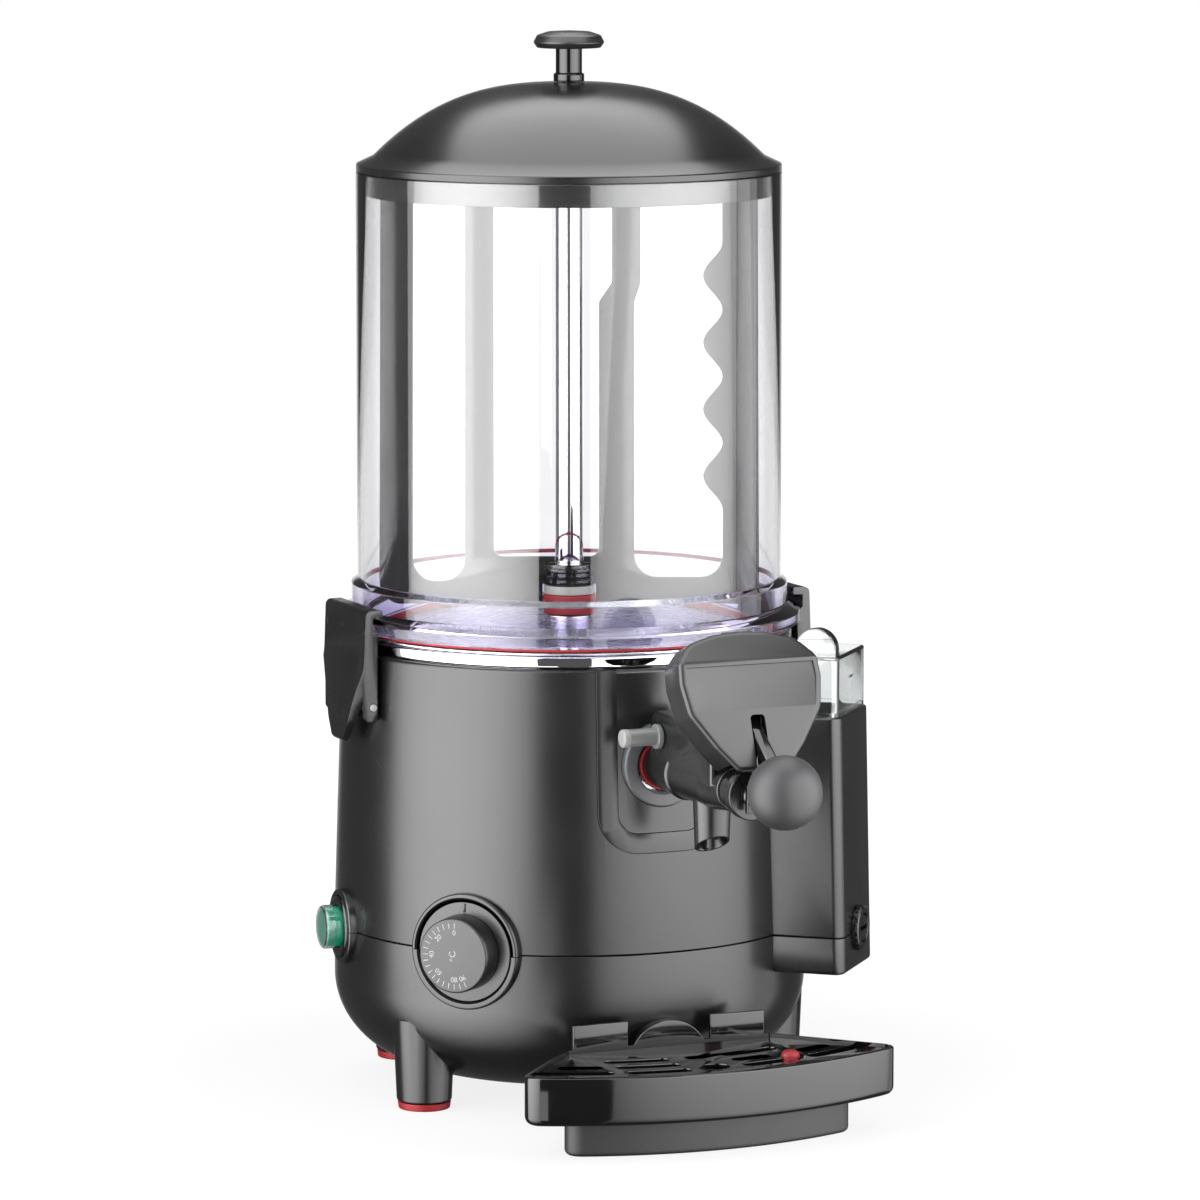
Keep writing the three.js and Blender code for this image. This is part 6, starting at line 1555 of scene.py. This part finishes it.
def gridSlots():
    slots = bmesh.new()
    for row in range(grid["rows"]):
        far = (tray["half"] - grid["endMargin"]) * grid["shares"][row] - grid["endMargin"]
        for side in (-1, 1):
            short = side > 0 and row == 1
            stop = level["x"] - grid["floatHole"] * grid["floatShare"] if short else grid["middle"]
            beside(slots, gridSlot(row, side * grid["inner"], side * stop))
            if far > grid["outer"] + grid["slot"] * 2:
                beside(slots, gridSlot(row, side * grid["outer"], side * far))
    middle = grid["inner"] - grid["slot"] * 2
    return settled(beside(slots, gridSlot(grid["rows"] - 1, -middle, middle)))


def dripGrid():
    plate = pushedShape(drawnIn(trayOutline(), grid["inset"]), grid["low"], grid["top"])
    reach, radius = grid["cup"]
    cup = shifted(barShape(radius, 0, tray["rim"]), 0, -reach, 0)
    floatHole = shifted(barShape(grid["floatHole"], 0, tray["rim"]), level["x"], -level["reach"], 0)
    return softened(cutBy(plate, gridSlots(), cup, floatHole), grid["edge"], keen, few)


def levelFloat():
    shape = turnedShape([(0, level["low"]), (level["base"], level["low"], 1),
                         (level["base"], level["baseHigh"], level["baseRound"]),
                         (level["radius"], level["baseHigh"] + 1, soft),
                         (level["radius"], level["top"], level["round"]),
                         (0, level["top"])], detail["small"])
    return shifted(shape, level["x"], -level["reach"], 0)


addPiece("dripTray", dripTray(), "tray", polishedAbs)
addPiece("trayStand", standShape(), "tray", mattAbs, "")
addPiece("dripGrid", dripGrid(), "grid", polishedAbs)
addPiece("levelFloat", levelFloat(), "float", redSilicone)
print("tray made")


# works inside the base keep their mesh and get the finish of the real ones

works = {"thermostat": greyAcetal, "dial_spindle": zincSteel, "switch_body": polishedAbs,
         "heater": zincSteel, "gearbox": zincSteel, "motor_can": brushedSteel, "motor_shaft": polishedSteel,
         "cutout_switch": rolledBrass, "cord_gland": satinNylon, "tap_spring": polishedSteel}
for name, material in works.items():
    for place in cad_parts[name].material_slots:
        place.material = material
print("works finished")

# light goes straight through the clear walls, as it nearly does through the real ones
for name in ("tankWall", "gaugeCover", "switchBoot"):
    bpy.data.objects[name].visible_diffuse = False
    bpy.data.objects[name].visible_shadow = False


# studio: white sweep and soft boxes; the cloths show in gloss and through the clear walls only, and lamps in
# the same places give a plain level to everything else; the kicker is a low card for the tray's corner

panels = {
    "panelLeft": {"from": 15, "to": 90, "radius": 0.75, "low": -0.9, "high": 1.05, "glow": 8.1, "rim": 0.42,
                  "foot": 0.15, "fade": (-0.65, 0.06)},
    "panelRight": {"from": -10.6, "to": -95, "radius": 0.75, "low": -0.9, "high": 0.64, "glow": 6.6,
                   "rim": 0.36, "foot": 0.2, "fade": (-0.6, 0.35)},
    "kickerLeft": {"from": 5.7, "to": 15.5, "radius": 0.73, "low": -0.3, "high": 0.01, "glow": 2.6,
                   "rim": 1, "foot": 1, "fade": (-0.9, -0.8)},
    "panelFar": {"from": -96, "to": -114, "radius": 0.8, "low": -0.4, "high": 0.9, "glow": 1.3, "rim": 1,
                 "foot": 1, "fade": (-0.9, -0.8)},
}
overhead = {"from": 0.53, "away": 0.5, "rise": 19, "front": -0.25, "back": 1.55, "wide": 0.94, "glow": 4.3,
            "rim": 0.8, "foot": 0.3, "fade": (-0.9, 0)}
lamps = {"low": 0.02, "level": 0.12}
surround = {"ambient": 0.3, "side": 0.12, "behind": 1, "edge": (0.93, 0.975), "through": (0.7, 0.85),
            "horizon": (0.04, 0.12), "bounces": 0.5, "crossings": 3.5}
ground = {"size": 14, "colour": "e4e4e4", "seenColour": "8a8a8a", "near": 0.84, "far": 1, "nearRadius": 0.2,
          "farRadius": 0.6}

towardsCamera = Vector((camera["place"][0] - machineAxis.x, camera["place"][1] - machineAxis.y,
                        0)).normalized()
cameraLeft = Vector((towardsCamera.y, -towardsCamera.x, 0))
axisFoot = Vector((machineAxis.x, machineAxis.y, 0))
upward = Vector((0, 0, 1))


def roundCamera(angle, radius, height=0):
    # a place at an angle from the camera's direction, to the camera's left when positive
    turn = math.radians(angle)
    flat = (towardsCamera * math.cos(turn) + cameraLeft * math.sin(turn)) * radius
    return axisFoot + flat + upward * height


def softCloth(name, size, look):
    # diffusion cloth over lamps: brightest in the middle, fainter towards its sides and its foot
    material, tree = emptyMaterial(name + "Cloth")
    place = addNode(tree, "ShaderNodeTexCoord", {})
    across = addNode(tree, "ShaderNodeSeparateXYZ", {"Vector": place.outputs["Object"]})
    share = worked(tree, "DIVIDE", across.outputs["X"], size[0] / 2)
    square = worked(tree, "MULTIPLY", share, share)
    fade = mapped(tree, square, (0, 1), (look["glow"], look["glow"] * look["rim"]))
    rise = mapped(tree, across.outputs["Y"], look["fade"], (look["foot"], 1))
    strength = worked(tree, "MULTIPLY", fade, rise)
    output(tree, addNode(tree, "ShaderNodeEmission", {"Color": (1, 1, 1, 1), "Strength": strength}))
    return material


def addCloth(name, place, facing, shape, size, look):
    moved(shape, Matrix.Diagonal((size[0], size[1], 1, 1)))
    cloth = looseObject(name, shape)
    cloth.location = place
    cloth.rotation_euler = facing
    cloth.visible_camera = False
    cloth.visible_diffuse = False
    cloth.visible_shadow = False
    cloth.data.materials.append(softCloth(name, size, look))


def addLamp(name, place, facing, size, glow):
    lamp = bpy.data.lights.new(name, "AREA")
    lamp.shape = "RECTANGLE"
    lamp.size, lamp.size_y = size
    lamp.energy = lamps["level"] * glow * math.pi * size[0] * size[1]
    holder = bpy.data.objects.new(name, lamp)
    scene.collection.objects.link(holder)
    holder.location = place
    holder.rotation_euler = facing
    holder.visible_camera = False
    holder.visible_glossy = False
    holder.visible_transmission = False


def unitSquare():
    shape = bmesh.new()
    bmesh.ops.create_grid(shape, x_segments=1, y_segments=1, size=0.5)
    return shape


def axesOf(across, up):
    return Matrix((across, up, across.cross(up))).transposed().to_euler()


def addPanel(name, look):
    start, end = roundCamera(look["from"], look["radius"]), roundCamera(look["to"], look["radius"])
    wide, foot = (start - end).length, (start + end) / 2
    across = (start - end).normalized()
    if across.cross(upward).dot(foot - axisFoot) < 0:
        across = -across
    facing = axesOf(across, upward)
    # the cloth's own zero height is the floor, so that its fade is given in heights
    shape = unitSquare()
    tall = look["high"] - look["low"]
    shifted(shape, 0, (look["high"] + look["low"]) / 2 / tall, 0)
    addCloth(name, foot, facing, shape, (wide, tall), look)
    middle = (lamps["low"] + look["high"]) / 2
    if look["high"] > lamps["low"]:
        addLamp(name + "Lamp", foot + upward * middle, facing, (wide, look["high"] - lamps["low"]),
                look["glow"])


def addOverhead():
    rise = math.radians(overhead["rise"])
    forward = towardsCamera * math.cos(rise) - upward * math.sin(rise)
    size = (overhead["wide"], overhead["back"] - overhead["front"])
    place = (axisFoot + upward * overhead["from"] - forward * (overhead["front"] + overhead["back"]) / 2
             + cameraLeft.cross(forward) * overhead["away"])
    facing = axesOf(cameraLeft, forward)
    addCloth("overhead", place, facing, unitSquare(), size, overhead)
    addLamp("overheadLamp", place, facing, size, overhead["glow"])


for name, look in panels.items():
    addPanel(name, look)
addOverhead()


def straightThrough(tree, ray):
    # rays that crossed two clear walls and met no reflection on the way
    unbent = worked(tree, "LESS_THAN", ray.outputs["Glossy Depth"], surround["bounces"])
    crossed = worked(tree, "GREATER_THAN", ray.outputs["Transmission Depth"], surround["crossings"])
    both = worked(tree, "MULTIPLY", unbent, crossed)
    return worked(tree, "MULTIPLY", both, ray.outputs["Is Transmission Ray"])


def addWorld():
    world = bpy.data.worlds.new("studio")
    world.use_nodes = True
    tree = world.node_tree
    tree.nodes.clear()
    ray = addNode(tree, "ShaderNodeLightPath", {})
    place = addNode(tree, "ShaderNodeTexCoord", {})
    facing = addNode(tree, "ShaderNodeVectorMath", {0: place.outputs["Generated"], 1: -towardsCamera},
                     operation="DOT_PRODUCT")
    rise = addNode(tree, "ShaderNodeSeparateXYZ", {"Vector": place.outputs["Generated"]})
    flat = mapped(tree, rise.outputs["Z"], surround["horizon"], (1, 0))

    def chosen(share, first, second):
        return addNode(tree, "ShaderNodeMix", {0: share, 2: first, 3: second}).outputs[0]

    def whiteBehind(span):
        behind = mapped(tree, facing.outputs["Value"], span)
        return chosen(worked(tree, "MULTIPLY", behind, flat), surround["side"], surround["behind"])

    glossy = chosen(ray.outputs["Is Glossy Ray"], surround["ambient"], whiteBehind(surround["edge"]))
    through = chosen(ray.outputs["Is Transmission Ray"], glossy, whiteBehind(surround["through"]))
    white = worked(tree, "MAXIMUM", ray.outputs["Is Camera Ray"], straightThrough(tree, ray))
    glow = chosen(white, through, 1)
    background = addNode(tree, "ShaderNodeBackground", {"Color": (1, 1, 1, 1), "Strength": glow})
    addNode(tree, "ShaderNodeOutputWorld", {"Surface": background.outputs[0]})
    scene.world = world


def addFloor():
    # white vinyl sweep: matt, and lifted to white where it is looked at, so that only the contact shadow
    # shows; gloss looks past it at the lower halves of the soft boxes
    shape = bmesh.new()
    bmesh.ops.create_grid(shape, x_segments=1, y_segments=1, size=ground["size"] / 2)
    floor = looseObject("floor", shape)
    material, tree = emptyMaterial("whiteVinyl")
    ray = addNode(tree, "ShaderNodeLightPath", {})
    away = addNode(tree, "ShaderNodeVectorMath", {0: patternAt(tree)}, operation="NORMALIZE")
    facing = addNode(tree, "ShaderNodeVectorMath", {0: away.outputs["Vector"], 1: -towardsCamera},
                     operation="DOT_PRODUCT")
    behind = mapped(tree, facing.outputs["Value"], surround["through"])
    through = worked(tree, "MULTIPLY", ray.outputs["Is Transmission Ray"], behind)
    either = worked(tree, "MAXIMUM", through, straightThrough(tree, ray))
    seen = worked(tree, "MAXIMUM", ray.outputs["Is Camera Ray"], either)
    colour = blended(tree, seen, fromHex(ground["colour"]), fromHex(ground["seenColour"]))
    matt = addNode(tree, "ShaderNodeBsdfDiffuse", {"Color": colour})
    # the painted glow is weaker near the machine, where the contact shadow shows, and full white further out
    reach = addNode(tree, "ShaderNodeVectorMath", {0: patternAt(tree)}, operation="LENGTH")
    rise = mapped(tree, reach.outputs["Value"], (ground["nearRadius"], ground["farRadius"]),
                  (ground["near"], ground["far"]))
    glow = addNode(tree, "ShaderNodeEmission", {"Color": (1, 1, 1, 1),
                                                "Strength": worked(tree, "MULTIPLY", seen, rise)})
    output(tree, addNode(tree, "ShaderNodeAddShader", {0: matt.outputs[0], 1: glow.outputs[0]}))
    floor.data.materials.append(material)
    floor.visible_glossy = False


addWorld()
addFloor()
scene.view_settings.view_transform = "Standard"
print("studio lit")
